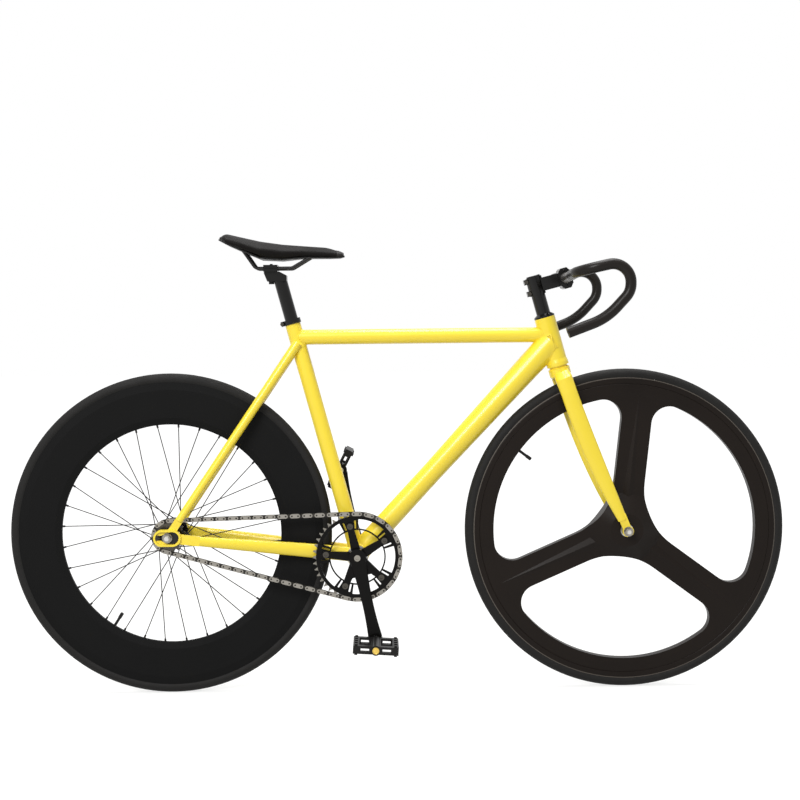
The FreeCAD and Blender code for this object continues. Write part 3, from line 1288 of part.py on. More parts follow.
stem_block = shaped("stem_block", clamp_block(-1))
stem_blank = fuse("stem_blank", [stem_clamp, stem_arm, stem_block] + stem_lugs)
steerer_bore = cylinder("stem_steerer_bore", steerer_seat, "sizes.stem_clamp_height + 2",
                        along(head_point(stem_bottom_reach - 1), head_axis))
bar_bore = cylinder("stem_bar_bore", "sizes.bar_clamp_diameter / 2 + sizes.seat_gap",
                    "sizes.bar_clamp_width + 2", across(bar_centre, -sizes.bar_clamp_width / 2 - 1))
split_width = "1"
stem_split = box("stem_split", split_width, "sizes.bar_clamp_width + 2", "sizes.bar_block_height + 2",
                 in_frame(bar_frame, 0, 0, 0))
lug_slot = box("stem_lug_slot", "sizes.stem_clamp_diameter", "2", "sizes.stem_clamp_height + 8",
               in_frame(clamp_frame, -sizes.stem_clamp_diameter / 2, 0, 0))

face_bolt_out = sizes.bar_block_depth * 0.68
face_bolt_spots = [(left, up) for left in (-1, 1) for up in (-1, 1)]
face_bolt_left = sizes.bar_clamp_width / 2 - 6
face_bolt_up = sizes.bar_block_height / 2 - 5
lug_bolt_back = sizes.stem_clamp_diameter / 2 + 1
face_bolt_length = "(sizes.bar_block_depth * 1.5)"
lug_bolt_length = "(sizes.stem_bolt_head_height + sizes.stem_lug_width)"


def bolt_section(length):
    """Socket bolt from the top of its head to the end of its shank."""
    return [("0", "0"), ("sizes.stem_bolt_head_diameter / 2", "0"),
            ("sizes.stem_bolt_head_diameter / 2", "sizes.stem_bolt_head_height"),
            ("sizes.stem_bolt_diameter / 2", "sizes.stem_bolt_head_height"),
            ("sizes.stem_bolt_diameter / 2", length), ("0", length)]


stem_bolts = []
stem_bolt_bore = "sizes.stem_bolt_diameter / 2 + sizes.seat_gap"
stem_bolt_well = "sizes.stem_bolt_head_diameter / 2 + sizes.face_gap"
stem_bolt_bores = []
for index, (left, up) in enumerate(face_bolt_spots):
    head = bar_frame.multVec(Vector(face_bolt_out, left * face_bolt_left, up * face_bolt_up))
    inward = spot(stem_rise + 180)
    stem_bolts.append(lathe(f"face_bolt_{index}", [bolt_section(face_bolt_length)], along(head, inward)))
    stem_bolt_bores.append(cylinder(f"face_bolt_bore_{index}", stem_bolt_bore,
                                    face_bolt_length + " + 1", along(head, inward)))
    stem_bolt_bores.append(cylinder(f"face_bolt_well_{index}", stem_bolt_well,
                                    "sizes.stem_bolt_head_height + sizes.bar_block_depth",
                                    along(head - inward * sizes.bar_block_depth, inward)))
for index, up in enumerate((-1, 1)):
    head = clamp_frame.multVec(Vector(-lug_bolt_back, 0, up * lug_bolt_up))
    head = head - ACROSS * (sizes.stem_lug_width / 2 + sizes.stem_bolt_head_height)
    stem_bolts.append(lathe(f"lug_bolt_{index}", [bolt_section(lug_bolt_length)], along(head, ACROSS)))
    stem_bolt_bores.append(cylinder(f"lug_bolt_bore_{index}", stem_bolt_bore,
                                    lug_bolt_length, along(head + ACROSS, ACROSS)))
    stem_bolt_bores.append(cylinder(f"lug_bolt_well_{index}", stem_bolt_well,
                                    "sizes.stem_bolt_head_height", along(head, ACROSS)))
stem_tools = fuse("stem_tools", [steerer_bore, bar_bore, stem_split, lug_slot] + stem_bolt_bores)
add_node(cut("stem", stem_blank, stem_tools))
plate_blank = shaped("faceplate_blank", clamp_block(1))
faceplate_tools = fuse("faceplate_tools", [bar_bore] + stem_bolt_bores)
add_node(cut("stem_faceplate", plate_blank, faceplate_tools))
add_node(group("stem_bolts", stem_bolts))


# Handlebar: drop bar whose tops rise to forward hooks
def bar_corner(side, forward, drop):
    """Corner of one hook, from the bar's centre."""
    return bar_centre + Vector(forward, side * sizes.bar_width / 2, -drop)


def hook_corners(side):
    """Corners of one side from the top corner to the open end, with their bend radii."""
    corners = [
        bar_corner(side, 0, -sizes.bar_rise),
        bar_corner(side, sizes.bar_reach, -sizes.bar_hook_top),
        bar_corner(side, sizes.bar_reach, sizes.bar_hook_bottom),
        bar_corner(side, sizes.bar_bend_reach, sizes.bar_bend_drop),
        bar_corner(side, -sizes.bar_end_setback, sizes.bar_end_drop)]
    radii = [sizes.bar_corner_radius, sizes.bar_front_radius, sizes.bar_hook_radius, sizes.bar_drop_radius]
    return corners, radii


right_corners, hook_radii = hook_corners(-1)
left_corners, _ = hook_corners(1)
half_straight = ACROSS * (sizes.bar_top_straight / 2)
bar_path = rounded_wire(
    list(reversed(right_corners)) + [bar_centre - half_straight, bar_centre + half_straight] + left_corners,
    list(reversed(hook_radii)) + [sizes.bar_drop_radius] * 2 + hook_radii)
bar_radius = sizes.bar_diameter / 2
bulge_half = sizes.bar_clamp_width / 2 + 2
bulge = drum(bar_centre, sizes.bar_clamp_diameter / 2, -bulge_half, bulge_half)
bulge_end = sizes.bar_clamp_width / 2 + 2
taper_length = sizes.bar_taper_end - bulge_end
tapers = [Part.makeCone(sizes.bar_clamp_diameter / 2, bar_radius - 0.7, taper_length,
                        bar_centre + ACROSS * (side * bulge_end), ACROSS * side) for side in SIDES.values()]
bar_hollow = pipe(bar_path, bar_radius - sizes.bar_wall)
bar_solid = pipe(bar_path, bar_radius).multiFuse([bulge] + tapers).cut(bar_hollow)
for corners in (right_corners, left_corners):
    inward = (corners[-2] - corners[-1]).normalize()
    end_bore = Part.makeCylinder(sizes.bar_end_bore / 2, sizes.bar_end_bore_depth, corners[-1], inward)
    bar_solid = bar_solid.cut(end_bore)
add_node(shaped("handlebar", largest(bar_solid)))
for name, side in SIDES.items():
    corners, radii = hook_corners(side)
    inner_end = bar_centre + half_straight * side
    share = (sizes.tape_start - sizes.bar_top_straight / 2) / (corners[0] - inner_end).Length
    tape_start = inner_end + (corners[0] - inner_end) * share
    tape_path = rounded_wire([tape_start] + corners, radii)
    sleeve = pipe(tape_path, bar_radius + sizes.tape_thickness)
    add_node(shaped("bar_tape_" + name, sleeve.cut(pipe(tape_path, bar_radius + sizes.seat_gap))))

# Cranks, spindle and chainring
spindle_half = "sizes.spindle_length / 2"
end_radius = "sizes.spindle_end_diameter / 2"
add_node(lathe("crank_spindle", [[
    ("0", "0"), (end_radius, "0"), (end_radius, "sizes.spindle_end_length"),
    ("sizes.spindle_diameter / 2", "sizes.spindle_end_length"),
    ("sizes.spindle_diameter / 2", "sizes.spindle_length - sizes.spindle_end_length"),
    (end_radius, "sizes.spindle_length - sizes.spindle_end_length"),
    (end_radius, "sizes.spindle_length"), ("0", "sizes.spindle_length"),
]], across(crank_centre, -sizes.spindle_length / 2)))

ring_outer_face = sizes.chain_line + sizes.tooth_thickness / 2
bolt_ring_radius = sizes.ring_bolt_circle / 2
bolt_angles = [sizes.ring_bolt_angle + 360 / sizes.ring_bolt_count * index
               for index in range(int(sizes.ring_bolt_count))]


def crank_arm(side):
    """Boss on the spindle, tapering arm and pedal eye, before its bores."""
    angle = sizes.crank_angle if side < 0 else sizes.crank_angle + 180
    line = spot(angle)
    broad = line.cross(ACROSS)
    eye = crank_centre + line * sizes.crank_length
    stations = [
        (8, sizes.crank_root_width, sizes.crank_arm_thickness + 2, sizes.crank_root_offset),
        (sizes.crank_length * 0.38, sizes.crank_arm_width + 3, sizes.crank_arm_thickness + 1,
         sizes.crank_root_offset + 2),
        (sizes.crank_length * 0.7, sizes.crank_arm_width + 2, sizes.crank_arm_thickness,
         (sizes.crank_root_offset + sizes.crank_eye_offset) / 2 + 1),
        (sizes.crank_length - 6, sizes.crank_arm_width + 8, sizes.crank_arm_thickness,
         sizes.crank_eye_offset),
    ]
    sections = []
    for reach, width, thickness, offset in stations:
        middle = crank_centre + line * reach + ACROSS * (side * offset)
        wide = broad * (width / 2)
        deep = ACROSS * (thickness / 2)
        corners = [middle - wide - deep, middle + wide - deep, middle + wide + deep, middle - wide + deep]
        sections.append(rounded_wire(corners, [3.0] * 4, closed=True))
    arm = Part.makeLoft(sections, True, False)
    half = sizes.crank_arm_thickness / 2
    boss = drum(crank_centre, sizes.crank_boss_diameter / 2, side * sizes.crank_boss_inner,
                side * (sizes.crank_boss_inner + sizes.crank_boss_width))
    knuckle = drum(eye, sizes.crank_eye_diameter / 2, side * (sizes.crank_eye_offset - half),
                   side * (sizes.crank_eye_offset + half))
    return arm.multiFuse([boss, knuckle]), eye


def crank_bores(side, eye):
    """Spindle seat, bolt well and pedal thread."""
    reach = side * sizes.spindle_length
    return Part.makeCompound([
        drum(crank_centre, sizes.spindle_end_diameter / 2 + sizes.seat_gap, 0,
             side * (sizes.spindle_length / 2 + sizes.seat_gap)),
        drum(crank_centre, sizes.crank_bolt_diameter / 2 + sizes.seat_gap, 0, reach),
        drum(eye, sizes.pedal_thread_diameter / 2 + sizes.seat_gap, 0, reach)])


def spider():
    """Five arms to the chainring bolts, with a web beside the crank arm."""
    low, high = -ring_outer_face, -ring_outer_face - sizes.spider_thickness
    pieces = []
    for angle in bolt_angles:
        line = spot(angle)
        sideways = line.cross(ACROSS)
        root = crank_centre + line * (sizes.crank_boss_diameter / 4)
        tip = crank_centre + line * bolt_ring_radius
        root_half = sideways * (sizes.spider_root_width / 2)
        tip_half = sideways * (sizes.spider_tip_width / 2)
        corners = [root - root_half, tip - tip_half, tip + tip_half, root + root_half]
        pieces.append(slab(rounded_wire(corners, [0] * 4, closed=True), low, high))
        pieces.append(drum(tip, sizes.spider_tip_width / 2 + 1.5, low, high))
    nearest = sorted(bolt_angles, key=lambda angle: abs((angle - sizes.crank_angle + 180) % 360 - 180))[:2]
    web = [crank_centre] + [crank_centre + spot(angle, sizes.spider_web_radius) for angle in nearest]
    pieces.append(slab(rounded_wire(web, [0] * 3, closed=True), low, high))
    return pieces


ring_bolt_bore = sizes.ring_bolt_diameter / 2 + sizes.seat_gap
ring_bolt_bores = [drum(crank_centre + spot(angle, bolt_ring_radius), ring_bolt_bore, 0, -2 * sizes.chain_line)
                   for angle in bolt_angles]
right_blank, right_eye = crank_arm(-1)
left_blank, left_eye = crank_arm(1)
spider_bores = [drum(crank_centre + spot(angle, bolt_ring_radius), ring_bolt_bore,
                     0, -ring_outer_face - sizes.spider_thickness - 1) for angle in bolt_angles]
right_solid = right_blank.multiFuse(spider()).cut(crank_bores(-1, right_eye))
right_arm = right_solid.cut(Part.makeCompound(spider_bores))
add_node(shaped("crank_arm_right", right_arm))
add_node(shaped("crank_arm_left", left_blank.cut(crank_bores(1, left_eye))))


def sector(inner, outer, start, end):
    """Ring sector of the chainring's plane, about the crank."""
    middle = (start + end) / 2
    edges = [
        Part.LineSegment(spot(start, inner), spot(start, outer)),
        Part.Arc(spot(start, outer), spot(middle, outer), spot(end, outer)),
        Part.LineSegment(spot(end, outer), spot(end, inner)),
        Part.Arc(spot(end, inner), spot(middle, inner), spot(start, inner))]
    wire = Part.Wire([edge.toShape() for edge in edges])
    wire.translate(crank_centre)
    return slab(wire, -2 * sizes.chain_line, 0)


def chainring():
    """Toothed band, slim inner band and five slotted tabs between them."""
    blank = sprocket(crank_centre, sizes.ring_teeth, ring_phase)
    band_start = sizes.ring_inner_radius + sizes.ring_inner_band
    pitch_turn = 360 / sizes.ring_bolt_count
    cuts = [drum(crank_centre, sizes.ring_inner_radius, -2 * sizes.chain_line, 0)]
    for angle in bolt_angles:
        start = angle + sizes.ring_tab_angle / 2
        cuts.append(sector(band_start, sizes.ring_band_inner_radius, start,
                           start + pitch_turn - sizes.ring_tab_angle))
        for turn in (-sizes.ring_slot_angle, sizes.ring_slot_angle):
            line = spot(angle + turn)
            sideways = line.cross(ACROSS) * (sizes.ring_slot_width / 2)
            root = crank_centre + line * band_start
            tip = crank_centre + line * (sizes.ring_band_inner_radius - sizes.ring_inner_band)
            corners = [root - sideways, tip - sideways, tip + sideways, root + sideways]
            cuts.append(slab(rounded_wire(corners, [0] * 4, closed=True), -2 * sizes.chain_line, 0))
    return blank.cut(Part.makeCompound(cuts)).cut(Part.makeCompound(ring_bolt_bores))


add_node(shaped("chainring", chainring()))
ring_bolt_grip = "(sizes.tooth_thickness + sizes.spider_thickness)"
ring_bolt_total = f"({ring_bolt_grip} + 2 * sizes.ring_bolt_head_height)"
ring_bolt_floor = f"({ring_bolt_total} - sizes.ring_bolt_socket_depth)"
ring_bolt_section = [
    ("0", "0"), ("sizes.ring_bolt_head_diameter / 2", "0"),
    ("sizes.ring_bolt_head_diameter / 2", "sizes.ring_bolt_head_height"),
    ("sizes.ring_bolt_diameter / 2", "sizes.ring_bolt_head_height"),
    ("sizes.ring_bolt_diameter / 2", f"{ring_bolt_grip} + sizes.ring_bolt_head_height"),
    ("sizes.ring_bolt_head_diameter / 2", f"{ring_bolt_grip} + sizes.ring_bolt_head_height"),
    ("sizes.ring_bolt_head_diameter / 2", ring_bolt_total), ("sizes.ring_bolt_socket / 2", ring_bolt_total),
    ("sizes.ring_bolt_socket / 2", ring_bolt_floor), ("0", ring_bolt_floor)]
ring_bolt_start = sizes.chain_line - sizes.tooth_thickness / 2 - sizes.ring_bolt_head_height
add_node(group("chainring_bolts", [
    lathe(f"chainring_bolt_{index}", [ring_bolt_section],
          facing_out(crank_centre + spot(angle, bolt_ring_radius), ring_bolt_start, -1))
    for index, angle in enumerate(bolt_angles)]))

boss_outer = sizes.crank_boss_inner + sizes.crank_boss_width
sizes.set("D4", str(boss_outer - sizes.spindle_length / 2))
sizes.setAlias("D4", "crank_bolt_grip")
doc.recompute()
crank_bolt_top = "(sizes.crank_bolt_grip + sizes.crank_bolt_head_height)"
crank_bolt_floor = f"({crank_bolt_top} - sizes.crank_bolt_socket_depth)"
crank_bolt_section = [
    ("0", "sizes.seat_gap"), ("sizes.crank_bolt_diameter / 2", "sizes.seat_gap"),
    ("sizes.crank_bolt_diameter / 2", "sizes.crank_bolt_grip"),
    ("sizes.crank_bolt_head_diameter / 2", "sizes.crank_bolt_grip"),
    ("sizes.crank_bolt_head_diameter / 2", crank_bolt_top), ("sizes.crank_bolt_socket / 2", crank_bolt_top),
    ("sizes.crank_bolt_socket / 2", crank_bolt_floor), ("0", crank_bolt_floor)]
add_node(group("crank_bolts", [
    lathe(f"crank_bolt_{name}", [crank_bolt_section],
          facing_out(crank_centre, sizes.spindle_length / 2, side))
    for name, side in SIDES.items()]))

# Pedal axles in the crank eyes, and the pedals that turn on them
eye_outer = sizes.crank_eye_offset + sizes.crank_arm_thickness / 2
pedal_start = eye_outer + sizes.pedal_collar_length + sizes.face_gap
pedal_middle = pedal_start + sizes.pedal_width / 2
eyes = {"right": right_eye, "left": left_eye}
thread_length = "sizes.crank_arm_thickness"
collar_end = f"({thread_length} + sizes.pedal_collar_length)"
axle_end = f"({collar_end} + sizes.face_gap + sizes.pedal_width - sizes.pedal_end_cap)"
pedal_axle_section = [
    ("0", "0"), ("sizes.pedal_thread_diameter / 2", "0"), ("sizes.pedal_thread_diameter / 2", thread_length),
    ("sizes.pedal_collar_diameter / 2", thread_length), ("sizes.pedal_collar_diameter / 2", collar_end),
    ("sizes.pedal_axle_diameter / 2", collar_end), ("sizes.pedal_axle_diameter / 2", axle_end),
    ("0", axle_end)]
add_node(group("pedal_axles", [
    lathe(f"pedal_axle_{name}", [pedal_axle_section],
          facing_out(eyes[name], eye_outer - sizes.crank_arm_thickness, side))
    for name, side in SIDES.items()]))


def pedal(name, side, tilt):
    """Open platform with a barrel on the axle and studs along both treads."""
    frame = Placement(eyes[name] + ACROSS * (side * pedal_middle), Rotation(ACROSS, -tilt))
    label = "pedal_" + name
    platform = box(label + "_platform", "sizes.pedal_length", "sizes.pedal_width",
                   "sizes.pedal_height", frame)
    barrel = cylinder(label + "_barrel", "sizes.pedal_barrel_diameter / 2", "sizes.pedal_width",
                      facing_out(eyes[name], pedal_start, side))
    opening = "(sizes.pedal_length - sizes.pedal_barrel_diameter) / 2 - sizes.pedal_rail"
    opening_centre = sizes.pedal_barrel_diameter / 4 + (sizes.pedal_length / 2 - sizes.pedal_rail) / 2
    openings = [
        box(f"{label}_opening_{end}", opening, "sizes.pedal_width - 2 * sizes.pedal_rail",
            "sizes.pedal_height * 2", in_frame(frame, way * opening_centre, 0, 0))
        for end, way in (("front", 1), ("rear", -1))]
    slots = [
        box(f"{label}_slot_{end}", "sizes.pedal_slot_length", "sizes.pedal_width + 2",
            "sizes.pedal_slot_height", in_frame(frame, way * opening_centre, 0, 0))
        for end, way in (("front", 1), ("rear", -1))]
    studs = []
    spacing = (sizes.pedal_width - sizes.pedal_rail) / (sizes.pedal_stud_count - 1)
    for way in (-1, 1):
        for face in (-1, 1):
            for index in range(int(sizes.pedal_stud_count)):
                left = (index - (sizes.pedal_stud_count - 1) / 2) * spacing
                studs.append(box(f"{label}_stud_{way + 1}{face + 1}{index}", "sizes.pedal_stud_width",
                                 "sizes.pedal_stud_width", "sizes.pedal_stud_height * 2",
                                 in_frame(frame, way * (sizes.pedal_length - sizes.pedal_rail) / 2, left,
                                          face * sizes.pedal_height / 2)))
    axle_bore = cylinder(label + "_bore", "sizes.pedal_axle_diameter / 2 + sizes.running_fit",
                         "sizes.pedal_width - sizes.pedal_end_cap + sizes.face_gap",
                         facing_out(eyes[name], pedal_start - sizes.face_gap / 2, side))
    blank = fuse(label + "_blank", [platform, barrel] + studs)
    return cut(label, blank, fuse(label + "_tools", openings + slots + [axle_bore]))


add_node(pedal("right", -1, sizes.right_pedal_tilt))
add_node(pedal("left", 1, sizes.left_pedal_tilt))

# Seat post with a head that carries the saddle clamp behind it
post_top = seat_top + seat_axis * sizes.seat_post_exposed
post_foot = seat_top - seat_axis * sizes.seat_post_inserted
rail_centre = post_top + Vector(-sizes.saddle_setback, 0, sizes.saddle_rise)
plate_low = sizes.clamp_plate_thickness + sizes.clamp_split / 2
head_surface = rail_centre - UP * plate_low
post_tube = ring("seat_post_tube", "sizes.seat_post_bore / 2", "sizes.seat_post_diameter / 2",
                 "sizes.seat_post_exposed + sizes.seat_post_inserted", along(post_foot, seat_axis))
head_rear = (post_top.x + rail_centre.x - sizes.post_head_length) / 2
head_front = head_rear + sizes.post_head_length
head_base = head_surface.z - sizes.post_head_height
head_corners = [Vector(head_rear, 0, head_surface.z),
                Vector(head_rear + sizes.post_head_rear_slope, 0, head_base),
                Vector(head_front, 0, head_base),
                Vector(head_front, 0, head_surface.z - sizes.post_head_front_drop),
                Vector(head_front - sizes.post_head_front_slope, 0, head_surface.z)]
head_outline = rounded_wire(head_corners, [sizes.post_head_round] * 5, closed=True)
head_slab = slab(head_outline, -sizes.post_head_width / 2, sizes.post_head_width / 2)
post_head = shaped("seat_post_head", head_slab)
post_blank = fuse("seat_post_blank", [post_tube, post_head])
clamp_bolt_bore = cylinder("clamp_bolt_bore", "sizes.clamp_bolt_diameter / 2 + sizes.seat_gap",
                           "sizes.post_head_height * 4",
                           Placement(rail_centre - UP * (2 * sizes.post_head_height), Rotation()))
clamp_bolt_well = cylinder("clamp_bolt_well", "sizes.clamp_bolt_head_diameter / 2 + sizes.face_gap",
                           "sizes.post_head_height",
                           Placement(head_surface - UP * (2 * sizes.post_head_height), Rotation()))
add_node(cut("seat_post", post_blank, fuse("seat_post_tools", [clamp_bolt_bore, clamp_bolt_well])))


def saddle_spot(forward, left, up):
    return rail_centre + Vector(forward, left, up)


def rail_path(side):
    """Rail from under the nose, along the clamp, and up into the tail."""
    points = [saddle_spot(102, side * 13, 34), saddle_spot(44, side * sizes.rail_spread, 0),
              saddle_spot(-30, side * sizes.rail_spread, 0),
              saddle_spot(-56, side * (sizes.rail_spread + 8), 38)]
    return rounded_wire(points, [sizes.rail_bend_radius] * 2)


rail_radius = sizes.rail_diameter / 2
rail_grooves = shaped("rail_grooves", Part.makeCompound(
    [Part.makeCylinder(rail_radius + sizes.seat_gap, sizes.saddle_nose,
                       saddle_spot(-sizes.saddle_nose / 2, side * sizes.rail_spread, 0), Vector(1, 0, 0))
     for side in SIDES.values()]))
clamp_tools = fuse("clamp_tools", [rail_grooves, clamp_bolt_bore])
clamp_offset = (sizes.clamp_plate_thickness + sizes.clamp_split) / 2
plates = []
for name, way in (("lower", -1), ("upper", 1)):
    plate = box(f"clamp_plate_{name}", "sizes.clamp_plate_length", "sizes.clamp_plate_width",
                "sizes.clamp_plate_thickness", Placement(rail_centre + UP * (way * clamp_offset), Rotation()))
    plates.append(cut(f"saddle_clamp_{name}", plate, clamp_tools))
add_node(group("saddle_clamp_plates", plates))
clamp_bolt_length = ("sizes.clamp_bolt_head_height + sizes.post_head_height + 2 * sizes.clamp_plate_thickness"
                     " + sizes.clamp_split + 3")
clamp_bolt_foot = head_surface - UP * (sizes.post_head_height + sizes.clamp_bolt_head_height)
add_node(lathe("saddle_clamp_bolt", [[
    ("0", "0"), ("sizes.clamp_bolt_head_diameter / 2", "0"),
    ("sizes.clamp_bolt_head_diameter / 2", "sizes.clamp_bolt_head_height"),
    ("sizes.clamp_bolt_diameter / 2", "sizes.clamp_bolt_head_height"),
    ("sizes.clamp_bolt_diameter / 2", clamp_bolt_length), ("0", clamp_bolt_length),
]], Placement(clamp_bolt_foot, Rotation())))

# Saddle: stations from tail to nose with half width, crown height and lower edge above the rails
tail, nose = sizes.saddle_tail, sizes.saddle_nose
broad, slim = sizes.saddle_width / 2, sizes.saddle_nose_width / 2
SADDLE_STATIONS = [
    (-tail, broad * 0.62, 68.0, 60.0),
    (-tail * 0.86, broad * 0.95, 71.0, 52.0),
    (-tail * 0.58, broad, 64.0, 39.0),
    (-tail * 0.2, broad * 0.88, 55.0, 22.0),
    (nose * 0.16, broad * 0.58, 48.5, 19.0),
    (nose * 0.45, slim * 1.3, 45.0, 23.0),
    (nose * 0.8, slim, 41.0, 22.5),
    (nose * 0.94, slim * 0.88, 37.5, 23.0),
    (nose, slim * 0.55, 33.0, 25.5),
]


def pad_section(forward, half, crown, edge):
    """Crowned section with sides that draw in towards the shell."""
    base = half * 0.84
    side_height = edge + (crown - edge) * 0.62
    low_left, low_right = saddle_spot(forward, base, edge), saddle_spot(forward, -base, edge)
    high_left = saddle_spot(forward, half * 0.9, side_height)
    high_right = saddle_spot(forward, -half * 0.9, side_height)
    bulge = edge + (crown - edge) * 0.3
    edges = [
        Part.LineSegment(low_left, low_right),
        Part.Arc(low_right, saddle_spot(forward, -half, bulge + 2), high_right),
        Part.Arc(high_right, saddle_spot(forward, 0, crown), high_left),
        Part.Arc(high_left, saddle_spot(forward, half, bulge + 2), low_left)]
    return Part.Wire([edge.toShape() for edge in edges])


def shell_section(forward, half, edge):
    base = half * 0.84 - 1
    top = edge - sizes.seat_gap
    low = top - sizes.saddle_shell_thickness
    corners = [saddle_spot(forward, base, low), saddle_spot(forward, -base, low),
               saddle_spot(forward, -base, top), saddle_spot(forward, base, top)]
    return rounded_wire(corners, [0] * 4, closed=True)


shell_sections = [shell_section(forward, half, edge) for forward, half, _, edge in SADDLE_STATIONS]
shell_solid = Part.makeLoft(shell_sections, True, True)
pad_solid = Part.makeLoft([pad_section(*station) for station in SADDLE_STATIONS], True, True)
rails = [largest(pipe(rail_path(side), rail_radius).cut(shell_solid).cut(pad_solid))
         for side in SIDES.values()]
add_node(shaped("saddle_rails", Part.makeCompound(rails)))
add_node(shaped("saddle_shell", shell_solid))
add_node(shaped("saddle_pad", pad_solid))

doc.recompute()

# Every piece is sound before any file is written
for sub_part in doc.Objects:
    if "Invalid" in sub_part.State or "Error" in sub_part.State:
        raise RuntimeError(f"{sub_part.Label} failed: {sub_part.State}")
for sub_part in nodes:
    if sub_part.Shape.isNull() or not sub_part.Shape.isValid() or not sub_part.Shape.Solids:
        raise RuntimeError(f"{sub_part.Label} has no sound solid")

os.makedirs("parts", exist_ok=True)
for sub_part in nodes:
    sub_part.Shape.exportStep(f"parts/{sub_part.Label}.step")
print(len(nodes), "sub-parts written")
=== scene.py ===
import json
from math import cos, pi, radians, sin

import bpy
from mathutils import Matrix, Vector


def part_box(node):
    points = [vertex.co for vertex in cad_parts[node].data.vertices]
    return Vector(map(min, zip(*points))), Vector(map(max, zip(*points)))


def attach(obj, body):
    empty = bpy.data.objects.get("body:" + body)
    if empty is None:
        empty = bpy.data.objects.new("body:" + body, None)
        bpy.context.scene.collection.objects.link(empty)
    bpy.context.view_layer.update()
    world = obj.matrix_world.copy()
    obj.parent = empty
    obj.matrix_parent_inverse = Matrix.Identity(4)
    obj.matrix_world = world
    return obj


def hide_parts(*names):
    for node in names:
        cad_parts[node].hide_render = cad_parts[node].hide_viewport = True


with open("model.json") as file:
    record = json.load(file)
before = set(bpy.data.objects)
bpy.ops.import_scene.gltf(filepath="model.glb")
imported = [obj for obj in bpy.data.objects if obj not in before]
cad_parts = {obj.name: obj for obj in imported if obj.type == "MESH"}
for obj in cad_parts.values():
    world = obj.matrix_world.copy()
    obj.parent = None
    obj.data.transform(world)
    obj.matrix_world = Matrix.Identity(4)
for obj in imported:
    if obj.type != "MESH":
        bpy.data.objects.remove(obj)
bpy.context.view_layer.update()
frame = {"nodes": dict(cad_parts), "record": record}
nodes = frame["nodes"]


# Frame and fork: aluminium tubes and stays welded at their ends, with gloss yellow enamel sprayed on and
# baked. The enamel shows a faint orange peel in its reflections, and its colour drifts along the tubes.
# Sizes are in metres, and those of a finish, with names that end in _mm, in millimetres.
def colour(code):
    """Linear colour of an sRGB hex code."""
    channels = [int(code[place:place + 2], 16) / 255 for place in (1, 3, 5)]
    return [c / 12.92 if c <= 0.04045 else ((c + 0.055) / 1.055) ** 2.4 for c in channels] + [1.0]


def settle(material, node, inputs):
    """Give a node's inputs their values, or links where a value is another node's output."""
    for name, value in inputs.items():
        if isinstance(value, bpy.types.NodeSocket):
            material.node_tree.links.new(value, node.inputs[name])
        else:
            node.inputs[name].default_value = value


def add(material, kind, inputs, **settings):
    """Put one shader node in a material, with its settings and its values or links."""
    node = material.node_tree.nodes.new(kind)
    for name, value in settings.items():
        setattr(node, name, value)
    settle(material, node, inputs)
    return node


def surface(name):
    """New material with its shader, and the object's own coordinates in metres."""
    material = bpy.data.materials.new(name)
    material.use_nodes = True
    shader = material.node_tree.nodes["Principled BSDF"]
    place = add(material, "ShaderNodeTexCoord", {}).outputs["Object"]
    return material, shader, place


def wear(names, material):
    """Give CAD nodes a material in place of their plain one."""
    for name in names:
        nodes[name].data.materials.clear()
        nodes[name].data.materials.append(material)


drift_mm, peel_mm = 111, 2.63
enamel, shader, place = surface("yellow_enamel")
drift = add(enamel, "ShaderNodeTexNoise", {"Vector": place, "Scale": 1000 / drift_mm, "Detail": 2.0})
tint = add(enamel, "ShaderNodeValToRGB", {"Fac": drift.outputs["Fac"]})
tint.color_ramp.elements[0].color = colour("#f7db30")
tint.color_ramp.elements[1].color = colour("#fce23b")
peel = add(enamel, "ShaderNodeTexNoise", {"Vector": place, "Scale": 1000 / peel_mm, "Detail": 1.0})
relief = add(enamel, "ShaderNodeBump", {"Height": peel.outputs["Fac"], "Strength": 0.03, "Distance": 0.0003})
sheen = add(enamel, "ShaderNodeMapRange", {"Value": drift.outputs["Fac"], "To Min": 0.30, "To Max": 0.40})
settle(enamel, shader, {"Base Color": tint.outputs["Color"], "Normal": relief.outputs["Normal"],
                        "Roughness": sheen.outputs["Result"], "Coat Weight": 0.3, "Coat Roughness": 0.12})
wear(["head_tube", "top_tube", "down_tube", "seat_tube", "bottom_bracket_shell", "chain_stay_right",
      "chain_stay_left", "seat_stay_right", "seat_stay_left", "dropout_right", "dropout_left", "fork_steerer",
      "fork_blade_right", "fork_blade_left"], enamel)


# Weld beads round the tubes of the main frame: laid as overlapping ripples, dressed down and painted over,
# so only a soft fillet shows. Each follows the line where one round tube meets another.
def alone(piece):
    """Make one object the only selected and active one, as the operators expect."""
    bpy.ops.object.select_all(action="DESELECT")
    bpy.context.view_layer.objects.active = piece
    piece.select_set(True)


joints = {joint["name"]: joint for joint in frame["record"]["behaviour"]["joints"]}
bead_radius, bead_points, bead_ripples, ripple_share = 0.0011, 144, 48, 0.14
top_up_seat_tube, top_up_head_tube, down_up_head_tube, seat_above_shell = 0.469, 0.067, 0.052, 0.3
top_girth, seat_girth, shell_girth = 0.0155, 0.016, 0.023
down_girth_at_head, down_girth_at_shell = 0.0262, 0.0219
head_girth_at_top, head_girth_at_down = 0.0215, 0.0222
across_frame = Vector((0, 1, 0))
shell_middle = Vector(joints["crank_spin"]["pos_m"])
seat_line = Vector(joints["seat_post_height"]["axis"])
head_foot = Vector(joints["steering"]["pos_m"])
head_line = Vector(joints["steering"]["axis"])
top_start = shell_middle + seat_line * top_up_seat_tube
top_end = head_foot + head_line * top_up_head_tube
down_end = head_foot + head_line * down_up_head_tube
seat_start = shell_middle + seat_line * seat_above_shell
